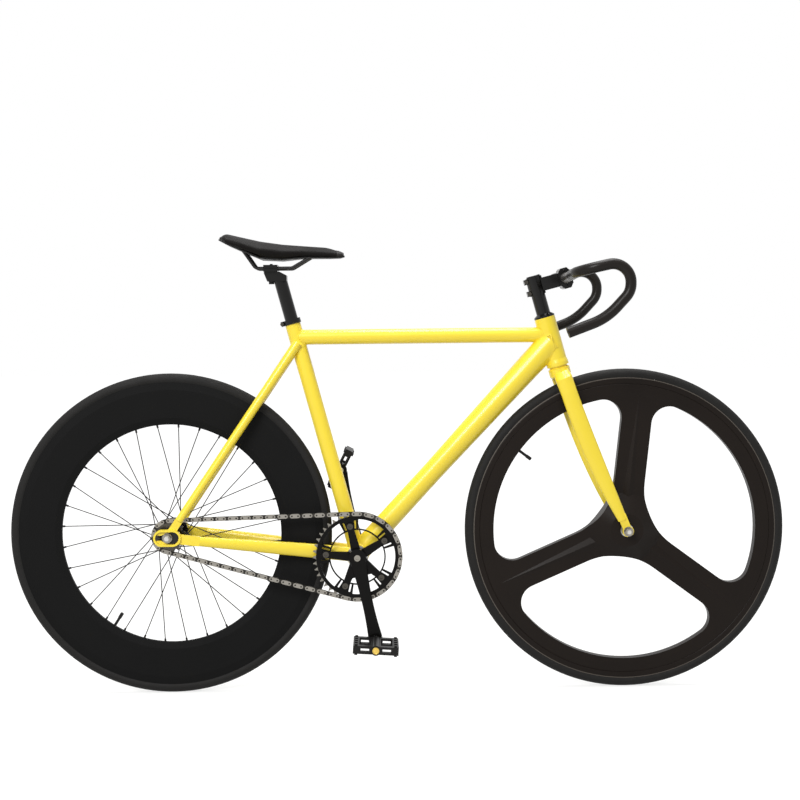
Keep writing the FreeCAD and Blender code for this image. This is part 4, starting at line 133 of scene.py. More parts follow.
for name, start, end, girth, post, line, post_girth in (
        ("weld_top_to_seat", top_end, top_start, top_girth, shell_middle, seat_line, seat_girth),
        ("weld_top_to_head", top_start, top_end, top_girth, head_foot, head_line, head_girth_at_top),
        ("weld_down_to_head", shell_middle, down_end, down_girth_at_head, head_foot, head_line,
         head_girth_at_down),
        ("weld_down_to_shell", down_end, shell_middle, down_girth_at_shell, shell_middle, across_frame,
         shell_girth),
        ("weld_seat_to_shell", seat_start, shell_middle, seat_girth, shell_middle, across_frame,
         shell_girth)):
    run = (end - start).normalized()
    out = run.cross(across_frame)
    path = bpy.data.curves.new(name, "CURVE")
    path.dimensions = "3D"
    path.bevel_depth = bead_radius
    path.bevel_resolution = 3
    seam = path.splines.new("POLY")
    seam.points.add(bead_points - 1)
    seam.use_cyclic_u = True
    for index, point in enumerate(seam.points):
        turn = 2 * pi * index / bead_points
        rim = start + (out * cos(turn) + across_frame * sin(turn)) * girth - post
        beside = rim - line * rim.dot(line)
        slope = run - line * run.dot(line)
        half = beside.dot(slope)
        gap = half * half - slope.length_squared * (beside.length_squared - post_girth * post_girth)
        reach = (-half - max(gap, 0.0) ** 0.5) / slope.length_squared
        point.co = (*(rim + post + run * reach), 1.0)
        point.radius = 1.0 + ripple_share * cos(turn * bead_ripples)
    bead = bpy.data.objects.new(name, path)
    bpy.context.collection.objects.link(bead)
    alone(bead)
    bpy.ops.object.convert(target="MESH")
    bead = bpy.context.active_object
    bpy.ops.object.shade_smooth()
    bead.data.materials.clear()
    bead.data.materials.append(enamel)
    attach(bead, "frame")

# Spokes, nipples, saddle rails and clamp bolt: drawn steel wire and rod, bent or threaded at the ends and
# blackened in a hot oxide bath. The oxide is patchy, so the dull black has shinier spots a few mm across.
oxide_mm = 3.33
blackened, shader, place = surface("blackened_steel")
oxide = add(blackened, "ShaderNodeTexNoise", {"Vector": place, "Scale": 1000 / oxide_mm, "Detail": 2.0})
matte = add(blackened, "ShaderNodeMapRange", {"Value": oxide.outputs["Fac"], "To Min": 0.32, "To Max": 0.5})
settle(blackened, shader, {"Base Color": colour("#1a1919"), "Specular IOR Level": 0.25,
                           "Roughness": matte.outputs["Result"]})
wear(["rear_spokes", "spoke_nipples", "saddle_clamp_bolt", "saddle_rails"], blackened)

# Chain tensioners: in each dropout's hood a blackened pressed plate lies round the axle nut, and a small
# threaded screw through the back of the hood bears on it.
nut_low, nut_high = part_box("rear_axle_nuts")
hub_x, hub_z = (nut_low.x + nut_high.x) / 2, (nut_low.z + nut_high.z) / 2
nut_gap = 0.0004
eye = (nut_high.z - nut_low.z) / 2 + nut_gap
plate_end_radius, plate_half_straight = 0.0125, 0.0105
plate_face, plate_thickness, plate_edge = 0.06705, 0.0009, 0.0002
ring_points = 64
upright = (pi / 2, pi / ring_points, 0)
screw_line, screw_points = 0.0698, 24
screw_start, screw_tip = (-0.0345, 0.0014), (-0.0131, 0.0011)
screw_head = [(-0.0338, 0.0028), (-0.0315, 0.0028), (-0.0315, 0.0016)]
thread_start, thread_step, thread_steps, crest, root = -0.0312, 0.0007, 26, 0.0016, 0.00135
thread = [(thread_start + index * thread_step, crest if index % 2 else root) for index in range(thread_steps)]
for side, way in (("right", -1), ("left", 1)):
    plate_middle = (hub_x, way * plate_face, hub_z)
    bpy.ops.object.select_all(action="DESELECT")
    bpy.ops.mesh.primitive_circle_add(vertices=ring_points, radius=plate_end_radius, location=plate_middle,
                                      rotation=upright)
    plate = bpy.context.active_object
    plate.name = "tension_plate_" + side
    bpy.ops.object.transform_apply(location=True, rotation=True, scale=True)
    for forward in (1, -1):
        for vertex in plate.data.vertices:
            vertex.select = (vertex.co.x - hub_x) * forward > 0
        bpy.ops.object.mode_set(mode="EDIT")
        bpy.ops.transform.translate(value=(forward * plate_half_straight, 0, 0))
        bpy.ops.mesh.select_all(action="DESELECT")
        bpy.ops.object.mode_set(mode="OBJECT")
    bpy.ops.object.mode_set(mode="EDIT")
    bpy.ops.mesh.primitive_circle_add(vertices=ring_points, radius=eye, location=plate_middle,
                                      rotation=upright)
    bpy.ops.mesh.select_all(action="SELECT")
    bpy.ops.mesh.bridge_edge_loops()
    bpy.ops.mesh.select_all(action="SELECT")
    bpy.ops.mesh.extrude_region_move(TRANSFORM_OT_translate={"value": (0, way * plate_thickness, 0)})
    bpy.ops.mesh.select_all(action="SELECT")
    bpy.ops.mesh.normals_make_consistent(inside=False)
    bpy.ops.object.mode_set(mode="OBJECT")
    edge = plate.modifiers.new("edge", "BEVEL")
    edge.width = plate_edge
    edge.segments = 2
    bpy.ops.object.modifier_apply(modifier="edge")
    bpy.ops.object.shade_smooth_by_angle(angle=radians(35))
    plate.data.materials.append(blackened)
    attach(plate, "frame")

    at, thick = screw_start
    bpy.ops.object.select_all(action="DESELECT")
    bpy.ops.mesh.primitive_circle_add(vertices=screw_points, radius=thick, fill_type="NGON",
                                      rotation=(0, pi / 2, 0), location=(hub_x + at, way * screw_line, hub_z))
    screw = bpy.context.active_object
    screw.name = "tension_screw_" + side
    bpy.ops.object.transform_apply(location=True, rotation=True, scale=True)
    bpy.ops.object.mode_set(mode="EDIT")
    bpy.ops.mesh.select_all(action="SELECT")
    for along, half in screw_head + thread + [screw_tip]:
        bpy.ops.mesh.extrude_region_move(TRANSFORM_OT_translate={"value": (along - at, 0, 0)})
        bpy.ops.transform.resize(value=(1, half / thick, half / thick),
                                 center_override=(hub_x + along, way * screw_line, hub_z))
        at, thick = along, half
    bpy.ops.mesh.select_all(action="SELECT")
    bpy.ops.mesh.normals_make_consistent(inside=False)
    bpy.ops.object.mode_set(mode="OBJECT")
    bpy.ops.object.shade_smooth_by_angle(angle=radians(40))
    screw.data.materials.append(blackened)
    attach(screw, "frame")

# Stem, spacers, seat post and their clamps: forged and turned alloy, tumbled bright before it was anodised
# black, so long highlights run down the round parts. The tumbling marks are drawn a millimetre wide to show.
tumble_mm, smear_mm = 1.11, 33.3
bright_black, shader, place = surface("polished_black_alloy")
tumble = add(bright_black, "ShaderNodeTexNoise", {"Vector": place, "Scale": 1000 / tumble_mm, "Detail": 2.0})
ripple = add(bright_black, "ShaderNodeBump",
             {"Height": tumble.outputs["Fac"], "Strength": 0.05, "Distance": 0.0002})
smear = add(bright_black, "ShaderNodeTexNoise", {"Vector": place, "Scale": 1000 / smear_mm, "Detail": 3.0})
lustre = add(bright_black, "ShaderNodeMapRange",
             {"Value": smear.outputs["Fac"], "To Min": 0.12, "To Max": 0.24})
settle(bright_black, shader, {"Base Color": colour("#090807"), "Specular IOR Level": 0.26,
                              "Normal": ripple.outputs["Normal"], "Roughness": lustre.outputs["Result"]})
wear(["seat_clamp", "headset_cover", "headset_spacers", "stem", "stem_faceplate", "top_cap", "seat_post",
      "saddle_clamp_plates"], bright_black)

# Handlebar: alloy tube bent to shape and clamped in the stem, bare and dark beside it. It was brushed along
# the tube, which leaves long streaks, drawn a millimetre wide to show.
brush_mm, brush_stretch = 1.11, 0.03
bar_metal, shader, place = surface("dark_brushed_bar")
stretch = add(bar_metal, "ShaderNodeMapping", {"Vector": place, "Scale": (1.0, brush_stretch, 1.0)})
brush = add(bar_metal, "ShaderNodeTexNoise",
            {"Vector": stretch.outputs["Vector"], "Scale": 1000 / brush_mm, "Detail": 3.0})
streak = add(bar_metal, "ShaderNodeMapRange", {"Value": brush.outputs["Fac"], "To Min": 0.28, "To Max": 0.44})
settle(bar_metal, shader, {"Base Color": colour("#5c5956"), "Metallic": 0.7,
                           "Roughness": streak.outputs["Result"]})
wear(["handlebar"], bar_metal)

# Bar sleeves: soft-touch black rubber drawn over the drops. A fine pebble is pressed into it, drawn about a
# millimetre wide to show, and hands have polished it in patches.
pebble_mm, touch_mm = 1.11, 28.6
sleeve, shader, place = surface("black_bar_sleeve")
pores = add(sleeve, "ShaderNodeTexVoronoi", {"Vector": place, "Scale": 1000 / pebble_mm})
press = add(sleeve, "ShaderNodeBump",
            {"Height": pores.outputs["Distance"], "Strength": 0.12, "Distance": 0.0002})
touch = add(sleeve, "ShaderNodeTexNoise", {"Vector": place, "Scale": 1000 / touch_mm, "Detail": 3.0})
polish = add(sleeve, "ShaderNodeMapRange", {"Value": touch.outputs["Fac"], "To Min": 0.26, "To Max": 0.4})
settle(sleeve, shader, {"Base Color": colour("#1a1613"), "Specular IOR Level": 0.16,
                        "Normal": press.outputs["Normal"], "Roughness": polish.outputs["Result"]})
wear(["bar_tape_right", "bar_tape_left"], sleeve)


# Rear rim: deep alloy section, rolled and welded into a hoop, turned true and painted matt black. Faint
# turning lines run round it, drawn further apart than they are to show, and dust dulls it in patches.
def from_axle(material, place, joint):
    """Distance of a point from a joint's axle, in metres, for finishes that run round it."""
    arm = add(material, "ShaderNodeVectorMath", {0: place, 1: joints[joint]["pos_m"]}, operation="SUBTRACT")
    flat = add(material, "ShaderNodeVectorMath", {0: arm.outputs[0], 1: (1, 0, 1)}, operation="MULTIPLY")
    return add(material, "ShaderNodeVectorMath", {0: flat.outputs[0]}, operation="LENGTH").outputs["Value"]


turning_mm, dust_mm = 1.43, 71.4
rim_paint, shader, place = surface("matt_black_rim")
rim_reach = from_axle(rim_paint, place, "rear_wheel_spin")
lines = add(rim_paint, "ShaderNodeTexNoise", {"W": rim_reach, "Scale": 1000 / turning_mm, "Detail": 2.0},
            noise_dimensions="1D")
turned = add(rim_paint, "ShaderNodeBump",
             {"Height": lines.outputs["Fac"], "Strength": 0.08, "Distance": 0.0003})
dust = add(rim_paint, "ShaderNodeTexNoise", {"Vector": place, "Scale": 1000 / dust_mm, "Detail": 4.0})
matt = add(rim_paint, "ShaderNodeMapRange", {"Value": dust.outputs["Fac"], "To Min": 0.5, "To Max": 0.66})
settle(rim_paint, shader, {"Base Color": colour("#0a0a0a"), "Specular IOR Level": 0.1,
                           "Normal": turned.outputs["Normal"], "Roughness": matt.outputs["Result"]})
wear(["rear_rim"], rim_paint)

# Front wheel: hub, broad spokes and rim cast in one hollow piece of fibre-filled nylon, satin black with a
# pebbled skin, drawn coarser than it is to show. A narrow painted highlight runs round the edge beside the
# tyre.
skin_mm, pour_mm = 1.54, 90.9
lip_radius, lip_half = 0.3152, 0.0012
cast, shader, place = surface("satin_black_casting")
skin = add(cast, "ShaderNodeTexNoise", {"Vector": place, "Scale": 1000 / skin_mm, "Detail": 2.0})
pebble = add(cast, "ShaderNodeBump", {"Height": skin.outputs["Fac"], "Strength": 0.15, "Distance": 0.0003})
pour = add(cast, "ShaderNodeTexNoise", {"Vector": place, "Scale": 1000 / pour_mm, "Detail": 3.0})
# Painted highlight: a narrow ring of lighter colour round the rim's edge beside the tyre.
lip_highlight = add(cast, "ShaderNodeMath", {0: from_axle(cast, place, "front_wheel_spin"), 1: lip_radius, 2: lip_half},
          operation="COMPARE")
shade = add(cast, "ShaderNodeMath", {0: pour.outputs["Fac"], 1: 0.5, 2: lip_highlight.outputs[0]},
            operation="MULTIPLY_ADD")
cast_tint = add(cast, "ShaderNodeValToRGB", {"Fac": shade.outputs[0]})
cast_tint.color_ramp.elements[0].color = colour("#181310")
# The lightest colour is the painted highlight on the edge beside the tyre.
cast_tint.color_ramp.elements[1].color = colour("#5c5650")
cast_tint.color_ramp.elements.new(0.5).color = colour("#201a16")
cast_gloss = add(cast, "ShaderNodeMapRange", {"Value": pour.outputs["Fac"], "To Min": 0.28, "To Max": 0.42})
settle(cast, shader, {"Base Color": cast_tint.outputs["Color"], "Specular IOR Level": 0.1,
                      "Normal": pebble.outputs["Normal"], "Roughness": cast_gloss.outputs["Result"]})
wear(["front_wheel_casting"], cast)

# Tyres: black rubber moulded over a cloth casing and held in the rims by their beads. The fine ribs of the
# sidewall circle the axle, so each wheel has a material of its own. The bloom of the rubber dulls it.
rib_mm, bloom_mm = 1.3, 25
for tyre, axle in (("front_tyre", "front_wheel_spin"), ("rear_tyre", "rear_wheel_spin")):
    rubber, shader, place = surface("rubber_" + tyre)
    ribs = add(rubber, "ShaderNodeMath", {0: from_axle(rubber, place, axle), 1: 2 * pi * 1000 / rib_mm},
               operation="MULTIPLY")
    wave = add(rubber, "ShaderNodeMath", {0: ribs.outputs[0]}, operation="SINE")
    mould = add(rubber, "ShaderNodeBump", {"Height": wave.outputs[0], "Strength": 0.25, "Distance": 0.0003})
    bloom = add(rubber, "ShaderNodeTexNoise", {"Vector": place, "Scale": 1000 / bloom_mm, "Detail": 4.0})
    dull = add(rubber, "ShaderNodeMapRange", {"Value": bloom.outputs["Fac"], "To Min": 0.55, "To Max": 0.75})
    settle(rubber, shader, {"Base Color": colour("#191817"), "Specular IOR Level": 0.2,
                            "Normal": mould.outputs["Normal"], "Roughness": dull.outputs["Result"]})
    wear([tyre], rubber)

# Axles, bearings and spindle: hardened steel, ground to size and pressed or screwed in place. The grinding
# marks, drawn wider than they are, spread its reflections a little.
mill_mm = 0.833
ground, shader, place = surface("ground_steel")
mill = add(ground, "ShaderNodeTexNoise", {"Vector": place, "Scale": 1000 / mill_mm, "Detail": 3.0})
rough = add(ground, "ShaderNodeMapRange", {"Value": mill.outputs["Fac"], "To Min": 0.22, "To Max": 0.4})
settle(ground, shader, {"Base Color": colour("#c4c2bd"), "Metallic": 1.0,
                        "Roughness": rough.outputs["Result"]})
wear(["headset_bearings", "bottom_bracket_cartridge", "front_hub_bearings", "rear_hub_bearings", "rear_axle",
      "front_axle", "crank_spindle", "pedal_axles"], ground)

# Axle nuts and crank bolts: forged steel with nickel plate, tightened on their threads. The plate is bright
# with a slightly cloudy polish.
cloud_mm = 6.25
nickel, shader, place = surface("nickel_plate")
cloud = add(nickel, "ShaderNodeTexNoise", {"Vector": place, "Scale": 1000 / cloud_mm, "Detail": 3.0})
clean = add(nickel, "ShaderNodeMapRange", {"Value": cloud.outputs["Fac"], "To Min": 0.12, "To Max": 0.28})
settle(nickel, shader, {"Base Color": colour("#87837b"), "Metallic": 1.0,
                        "Roughness": clean.outputs["Result"]})
wear(["rear_axle_nuts", "front_axle_nuts", "crank_bolts"], nickel)

# Cog, lockring, ring bolts and the small bolts of stem and seat clamp: cut steel under black nickel, a dark
# plate that lets the turned metal glint through.
haze_mm = 4.17
black_nickel, shader, place = surface("black_nickel_plate")
haze = add(black_nickel, "ShaderNodeTexNoise", {"Vector": place, "Scale": 1000 / haze_mm, "Detail": 3.0})
glint = add(black_nickel, "ShaderNodeMapRange",
            {"Value": haze.outputs["Fac"], "To Min": 0.18, "To Max": 0.34})
settle(black_nickel, shader, {"Base Color": colour("#4a4742"), "Metallic": 1.0,
                              "Roughness": glint.outputs["Result"]})
wear(["chainring_bolts", "stem_bolts", "seat_clamp_bolt", "cog_lockring", "rear_cog"], black_nickel)

# Cranks and rear hub: forged alloy, blasted and anodised black, the cranks bolted on the spindle. The blasted
# grain, drawn coarser than it is, gives a satin bloom, and handling leaves smoother patches.
blast_mm, hands_mm = 0.714, 38.5
anodised, shader, place = surface("black_anodised_alloy")
blast = add(anodised, "ShaderNodeTexNoise", {"Vector": place, "Scale": 1000 / blast_mm, "Detail": 2.0})
grain = add(anodised, "ShaderNodeBump",
            {"Height": blast.outputs["Fac"], "Strength": 0.12, "Distance": 0.0002})
hands = add(anodised, "ShaderNodeTexNoise", {"Vector": place, "Scale": 1000 / hands_mm, "Detail": 3.0})
gloss = add(anodised, "ShaderNodeMapRange", {"Value": hands.outputs["Fac"], "To Min": 0.18, "To Max": 0.32})
settle(anodised, shader, {"Base Color": colour("#080706"), "Specular IOR Level": 0.1,
                          "Normal": grain.outputs["Normal"], "Roughness": gloss.outputs["Result"]})
wear(["rear_hub", "crank_arm_right", "crank_arm_left"], anodised)

# Chainring: plate alloy anodised black like the cranks, then cut on the hobbing machine and bolted to the
# spider. The teeth are bare metal outside the black band, which has a slightly ragged edge.
scuff_mm, ragged_m, tooth_foot, tooth_fade = 2.38, 0.0016, 0.0856, 0.001
ring_finish, shader, place = surface("hobbed_black_ring")
scuff = add(ring_finish, "ShaderNodeTexNoise", {"Vector": place, "Scale": 1000 / scuff_mm, "Detail": 3.0})
ragged = add(ring_finish, "ShaderNodeMath",
             {0: scuff.outputs["Fac"], 1: ragged_m, 2: from_axle(ring_finish, place, "crank_spin")},
             operation="MULTIPLY_ADD")
teeth = add(ring_finish, "ShaderNodeMapRange", {"Value": ragged.outputs[0], "From Min": tooth_foot,
                                                "From Max": tooth_foot + tooth_fade})
ring_tint = add(ring_finish, "ShaderNodeValToRGB", {"Fac": teeth.outputs["Result"]})
ring_tint.color_ramp.elements[0].color = colour("#080706")
ring_tint.color_ramp.elements[1].color = colour("#8a867e")
ring_grain = add(ring_finish, "ShaderNodeBump",
                 {"Height": scuff.outputs["Fac"], "Strength": 0.1, "Distance": 0.0002})
ring_gloss = add(ring_finish, "ShaderNodeMapRange",
                 {"Value": scuff.outputs["Fac"], "To Min": 0.2, "To Max": 0.34})
settle(ring_finish, shader, {"Base Color": ring_tint.outputs["Color"], "Specular IOR Level": 0.1,
                             "Normal": ring_grain.outputs["Normal"],
                             "Roughness": ring_gloss.outputs["Result"]})
wear(["chainring"], ring_finish)

# Chain: pressed links riveted together. Nickel-plated outer plates lie over inner ones coloured dark and
# carry dark rivet heads, all told apart by how far they stand from the chain's middle. Oil darkens it in
# patches.
oil_mm, outer_plate, rivet_head = 4.76, 0.00285, 0.0001
chain_steel, shader, place = surface("oiled_chain_steel")
chain_low, chain_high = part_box("chain")
chain_half = (chain_high.y - chain_low.y) / 2
sideways = add(chain_steel, "ShaderNodeSeparateXYZ", {"Vector": place}).outputs["Y"]
aside = add(chain_steel, "ShaderNodeMath", {0: sideways, 1: chain_low.y + chain_half}, operation="SUBTRACT")
depth = add(chain_steel, "ShaderNodeMath", {0: aside.outputs[0]}, operation="ABSOLUTE")
outer = add(chain_steel, "ShaderNodeMath", {0: depth.outputs[0], 1: outer_plate}, operation="GREATER_THAN")
rivet = add(chain_steel, "ShaderNodeMath", {0: depth.outputs[0], 1: chain_half - rivet_head},
            operation="LESS_THAN")
plates = add(chain_steel, "ShaderNodeMath", {0: outer.outputs[0], 1: rivet.outputs[0]}, operation="MULTIPLY")
oil = add(chain_steel, "ShaderNodeTexNoise", {"Vector": place, "Scale": 1000 / oil_mm, "Detail": 3.0})
level = add(chain_steel, "ShaderNodeMath", {0: oil.outputs["Fac"], 1: 0.3, 2: plates.outputs[0]},
            operation="MULTIPLY_ADD")
film = add(chain_steel, "ShaderNodeValToRGB", {"Fac": level.outputs[0]})
film.color_ramp.elements[0].position = 0.1
film.color_ramp.elements[0].color = colour("#1d1b18")
film.color_ramp.elements[1].color = colour("#8d8982")
settle(chain_steel, shader, {"Base Color": film.outputs["Color"], "Metallic": 0.85, "Roughness": 0.36})
wear(["chain"], chain_steel)

# Pedals, saddle shell and valves: black plastic, injection moulded. The spark-eroded mould leaves a fine
# grain, drawn nearly a millimetre wide to show.
spark_mm = 0.909
moulded, shader, place = surface("moulded_black_plastic")
spark = add(moulded, "ShaderNodeTexNoise", {"Vector": place, "Scale": 1000 / spark_mm, "Detail": 1.0})
texture = add(moulded, "ShaderNodeBump",
              {"Height": spark.outputs["Fac"], "Strength": 0.2, "Distance": 0.0002})
settle(moulded, shader, {"Base Color": colour("#100f0e"), "Specular IOR Level": 0.2, "Roughness": 0.42,
                         "Normal": texture.outputs["Normal"]})
wear(["pedal_right", "pedal_left", "saddle_shell", "rear_valve", "front_valve"], moulded)

# Pedal dust caps: turned brass discs that close the outer end of each pedal's axle, pressed in, with a raised
# lip round a shallow dome. The lathe's marks are drawn a millimetre wide to show.
marks_mm, cap_points, cap_radius, cap_depth, cap_edge = 1.11, 48, 0.0068, 0.0024, 0.00025
lip_step, groove_step = (0.0012, 0.0), (0.0005, -0.0009)
dome_step, crown_step = (0.0022, 0.0006), (0.0016, 0.0002)
brass, shader, place = surface("turned_brass")
lathe_marks = add(brass, "ShaderNodeTexNoise", {"Vector": place, "Scale": 1000 / marks_mm, "Detail": 2.0})
dulled = add(brass, "ShaderNodeMapRange",
             {"Value": lathe_marks.outputs["Fac"], "To Min": 0.25, "To Max": 0.42})
settle(brass, shader, {"Base Color": colour("#d9b95f"), "Metallic": 1.0,
                       "Roughness": dulled.outputs["Result"]})
for side, body, way in (("right", "right_pedal", -1), ("left", "left_pedal", 1)):
    low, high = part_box("pedal_" + side)
    hub = Vector(joints["pedal_" + side + "_spin"]["pos_m"])
    face = low.y if way < 0 else high.y
    bpy.ops.object.select_all(action="DESELECT")
    bpy.ops.mesh.primitive_cylinder_add(vertices=cap_points, radius=cap_radius, depth=cap_depth,
                                        location=(hub.x, face + way * cap_depth / 2, hub.z),
                                        rotation=(way * -pi / 2, 0, 0))
    cap = bpy.context.active_object
    cap.name = "pedal_cap_" + side
    bpy.ops.object.transform_apply(location=True, rotation=True, scale=True)
    bpy.ops.object.mode_set(mode="EDIT")
    bpy.ops.mesh.select_all(action="DESELECT")
    bpy.ops.object.mode_set(mode="OBJECT")
    for polygon in cap.data.polygons:
        polygon.select = polygon.normal.y * way > 0.9
    bpy.ops.object.mode_set(mode="EDIT")
    for thickness, rise in (lip_step, groove_step, dome_step, crown_step):
        bpy.ops.mesh.inset(thickness=thickness, depth=rise)
    bpy.ops.object.mode_set(mode="OBJECT")
    soften = cap.modifiers.new("soften", "BEVEL")
    soften.width = cap_edge
    soften.segments = 2
    bpy.ops.object.modifier_apply(modifier="soften")
    bpy.ops.object.shade_smooth_by_angle(angle=radians(35))
    cap.data.materials.append(brass)
    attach(cap, body)

# Saddle cover: thin foam under stretched black vinyl, drawn down over the shell's edge and glued. The foam
# swells under the cover, which keeps a fine leather grain and is rubbed smoother in places.
cells_mm, rub_mm = 1.43, 45.5
same_point, foam_cut, foam_voxel = 0.00002, 0.0012, 0.004
foam_pressure, foam_frames, foam_swell = 4.0, 20, 0.002
vinyl, shader, place = surface("black_saddle_vinyl")
cells = add(vinyl, "ShaderNodeTexVoronoi", {"Vector": place, "Scale": 1000 / cells_mm})
hide = add(vinyl, "ShaderNodeBump",
           {"Height": cells.outputs["Distance"], "Strength": 0.2, "Distance": 0.0003})
rub = add(vinyl, "ShaderNodeTexNoise", {"Vector": place, "Scale": 1000 / rub_mm, "Detail": 3.0})
shine = add(vinyl, "ShaderNodeMapRange", {"Value": rub.outputs["Fac"], "To Min": 0.5, "To Max": 0.66})
settle(vinyl, shader, {"Base Color": colour("#100e0d"), "Specular IOR Level": 0.09,
                       "Normal": hide.outputs["Normal"], "Roughness": shine.outputs["Result"]})
cover = bpy.data.objects.new("saddle_cover", nodes["saddle_pad"].data.copy())
bpy.context.collection.objects.link(cover)
cover.data.materials.clear()
cover.data.materials.append(vinyl)
alone(cover)
bpy.ops.object.mode_set(mode="EDIT")
bpy.ops.mesh.select_all(action="SELECT")
bpy.ops.mesh.remove_doubles(threshold=same_point)
bpy.ops.mesh.normals_make_consistent(inside=False)
bpy.ops.transform.shrink_fatten(value=-foam_cut)
bpy.ops.object.mode_set(mode="OBJECT")
cover.data.remesh_voxel_size = foam_voxel
bpy.ops.object.voxel_remesh()
before = [vertex.co.copy() for vertex in cover.data.vertices]
foam = cover.modifiers.new("foam", "CLOTH")
foam.settings.use_pressure = True
foam.settings.uniform_pressure_force = foam_pressure
foam.settings.effector_weights.gravity = 0.0
for step in range(1, foam_frames + 1):
    bpy.context.scene.frame_set(step)
bpy.ops.object.modifier_apply(modifier="foam")
bpy.context.scene.frame_set(1)
for vertex, start in zip(cover.data.vertices, before):
    move = vertex.co - start
    vertex.co = start + move * min(1.0, foam_swell / max(move.length, 1e-9))
smooth = cover.modifiers.new("smooth", "SUBSURF")
smooth.levels = 1
smooth.render_levels = 1
bpy.ops.object.modifier_apply(modifier="smooth")
bpy.ops.object.shade_smooth()
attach(cover, "saddle")
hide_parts("saddle_pad")

# Saddle trim: a ribbed rubber block moulded over the nose and a plain scuff guard round the tail. Both are
# skins of dull black rubber bonded on the cover, so each is cut from its mesh and raised a little. The
# dappled surface is drawn coarser than it is to show.
dapple_mm, nose_length, tail_length, overrun = 1.25, 0.017, 0.011, 0.01
rib_pitch, rib_foot, rib_height, guard_height, skin_thickness = 0.0045, 0.0003, 0.0007, 0.0004, 0.0012
rubber_trim, shader, place = surface("black_trim_rubber")
dapple = add(rubber_trim, "ShaderNodeTexNoise", {"Vector": place, "Scale": 1000 / dapple_mm, "Detail": 2.0})
dent = add(rubber_trim, "ShaderNodeBump",
           {"Height": dapple.outputs["Fac"], "Strength": 0.15, "Distance": 0.0002})
settle(rubber_trim, shader, {"Base Color": colour("#1b1918"), "Specular IOR Level": 0.2, "Roughness": 0.5,
                             "Normal": dent.outputs["Normal"]})
saddle_low, saddle_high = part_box("saddle_pad")
for name, first, last, ribbed in (
        ("saddle_nose_block", saddle_high.x - nose_length, saddle_high.x + overrun, True),
        ("saddle_tail_guard", saddle_low.x - overrun, saddle_low.x + tail_length, False)):
    trim = bpy.data.objects.new(name, cover.data.copy())
    bpy.context.collection.objects.link(trim)
    alone(trim)
    bpy.ops.object.mode_set(mode="EDIT")
    bpy.ops.mesh.select_all(action="DESELECT")
    bpy.ops.object.mode_set(mode="OBJECT")
    for vertex in trim.data.vertices:
        vertex.select = not first < vertex.co.x < last
    bpy.ops.object.mode_set(mode="EDIT")
    bpy.ops.mesh.delete(type="VERT")
    bpy.ops.mesh.select_all(action="SELECT")
    bpy.ops.mesh.subdivide(number_cuts=1, smoothness=0.5)
    bpy.ops.object.mode_set(mode="OBJECT")
    for vertex in trim.data.vertices:
        height = guard_height
        if ribbed:
            height = rib_foot + rib_height * (0.5 + 0.5 * cos(2 * pi * (vertex.co.x - first) / rib_pitch))
        vertex.co += vertex.normal * height
    shell = trim.modifiers.new("shell", "SOLIDIFY")
    shell.thickness = skin_thickness
    shell.offset = -1.0
    bpy.ops.object.modifier_apply(modifier="shell")
    bpy.ops.object.shade_smooth_by_angle(angle=radians(40))
    trim.data.materials.clear()
    trim.data.materials.append(rubber_trim)
    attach(trim, "saddle")


# Studio: a white floor that keeps a soft shadow, white surroundings, and two large soft lights, one above the
# camera and one overhead. Floor and surroundings are white where they are looked at, and dimmer as light.
def looking(owner):
    """One for rays that look straight, in a reflection or through glass, and zero for others."""
    rays = add(owner, "ShaderNodeLightPath", {}).outputs
    direct = add(owner, "ShaderNodeMath", {0: rays["Is Camera Ray"], 1: rays["Is Glossy Ray"]},
                 operation="MAXIMUM")
    return add(owner, "ShaderNodeMath", {0: direct.outputs[0], 1: rays["Is Transmission Ray"]},
               operation="MAXIMUM").outputs[0]


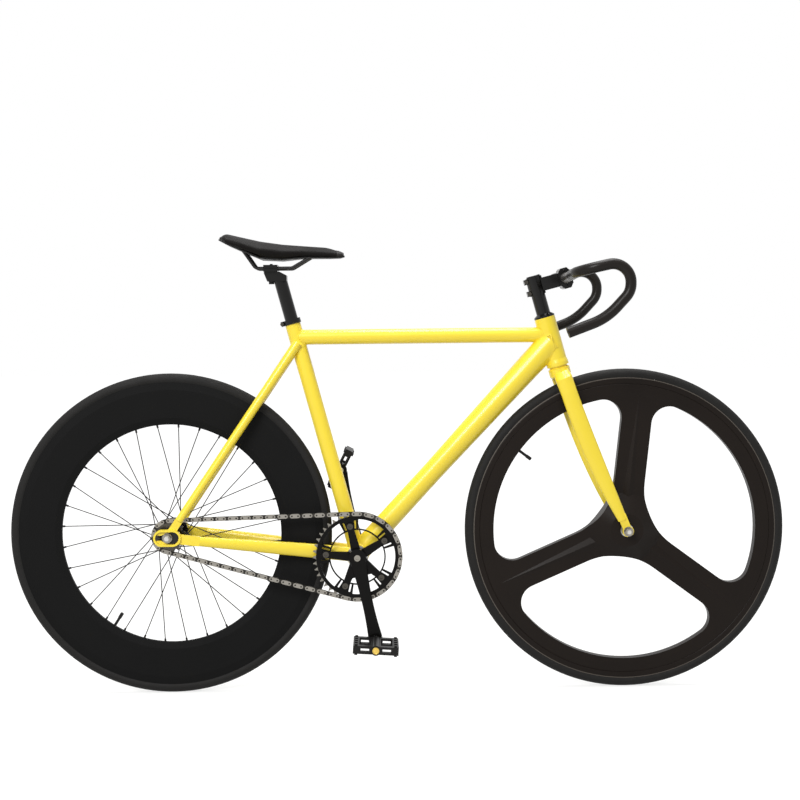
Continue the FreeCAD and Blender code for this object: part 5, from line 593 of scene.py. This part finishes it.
bpy.context.scene.view_settings.view_transform = "Standard"
floor_size, near, far, near_glow, far_glow, world_light = 40, 0.8, 4.0, 0.70, 0.97, 0.3
bpy.ops.object.select_all(action="DESELECT")
bpy.ops.mesh.primitive_plane_add(size=floor_size)
floor = bpy.context.active_object
floor.name = "floor"
floor_paint, floor_shader, place = surface("white_floor")
afar = add(floor_paint, "ShaderNodeVectorMath", {0: place}, operation="LENGTH")
fade = add(floor_paint, "ShaderNodeMapRange",
           {"Value": afar.outputs["Value"], "From Min": near, "From Max": far, "To Min": near_glow,
            "To Max": far_glow}, interpolation_type="SMOOTHSTEP")
glow = add(floor_paint, "ShaderNodeMath", {0: looking(floor_paint), 1: fade.outputs["Result"]},
           operation="MULTIPLY")
settle(floor_paint, floor_shader, {"Base Color": colour("#b0b0ae"), "Roughness": 0.9,
                                   "Specular IOR Level": 0.0, "Emission Color": colour("#ffffff"),
                                   "Emission Strength": glow.outputs[0]})
floor.data.materials.append(floor_paint)
world = bpy.data.worlds.new("studio")
world.use_nodes = True
bpy.context.scene.world = world
seen = add(world, "ShaderNodeMath", {0: looking(world), 1: 1 - world_light, 2: world_light},
           operation="MULTIPLY_ADD")
settle(world, world.node_tree.nodes["Background"], {"Color": colour("#ffffff"), "Strength": seen.outputs[0]})
for name, spot, aim, size, power in (
        ("front_softbox", (-1.5, -3.2, 2.6), (0, 0, 0.5), 1.6, 120),
        ("top_softbox", (0.3, 0.2, 3.4), (0, 0, 0.4), 2.0, 100)):
    light = bpy.data.objects.new(name, bpy.data.lights.new(name, "AREA"))
    light.data.size = size
    light.data.energy = power
    light.location = spot
    light.rotation_euler = (Vector(aim) - Vector(spot)).to_track_quat("-Z", "Y").to_euler()
    bpy.context.collection.objects.link(light)

# Camera of the photograph: low on the chain side, a little behind the middle of the bicycle, looking slightly
# down. Its place, turn, tilt and roll were fitted to both wheels.
camera_place, lens_mm, sensor_mm = (-0.0397, -2.9032, 0.760), 62.85, 36.0
turn, tilt, roll = radians(-0.904), radians(90 - 3.009), radians(-0.595)
camera = bpy.data.objects.new("camera", bpy.data.cameras.new("camera"))
camera.data.lens = lens_mm
camera.data.sensor_width = sensor_mm
camera.matrix_world = (Matrix.Translation(camera_place) @ Matrix.Rotation(turn, 4, "Z")
                       @ Matrix.Rotation(tilt, 4, "X") @ Matrix.Rotation(roll, 4, "Z"))
bpy.context.collection.objects.link(camera)
bpy.context.scene.camera = camera
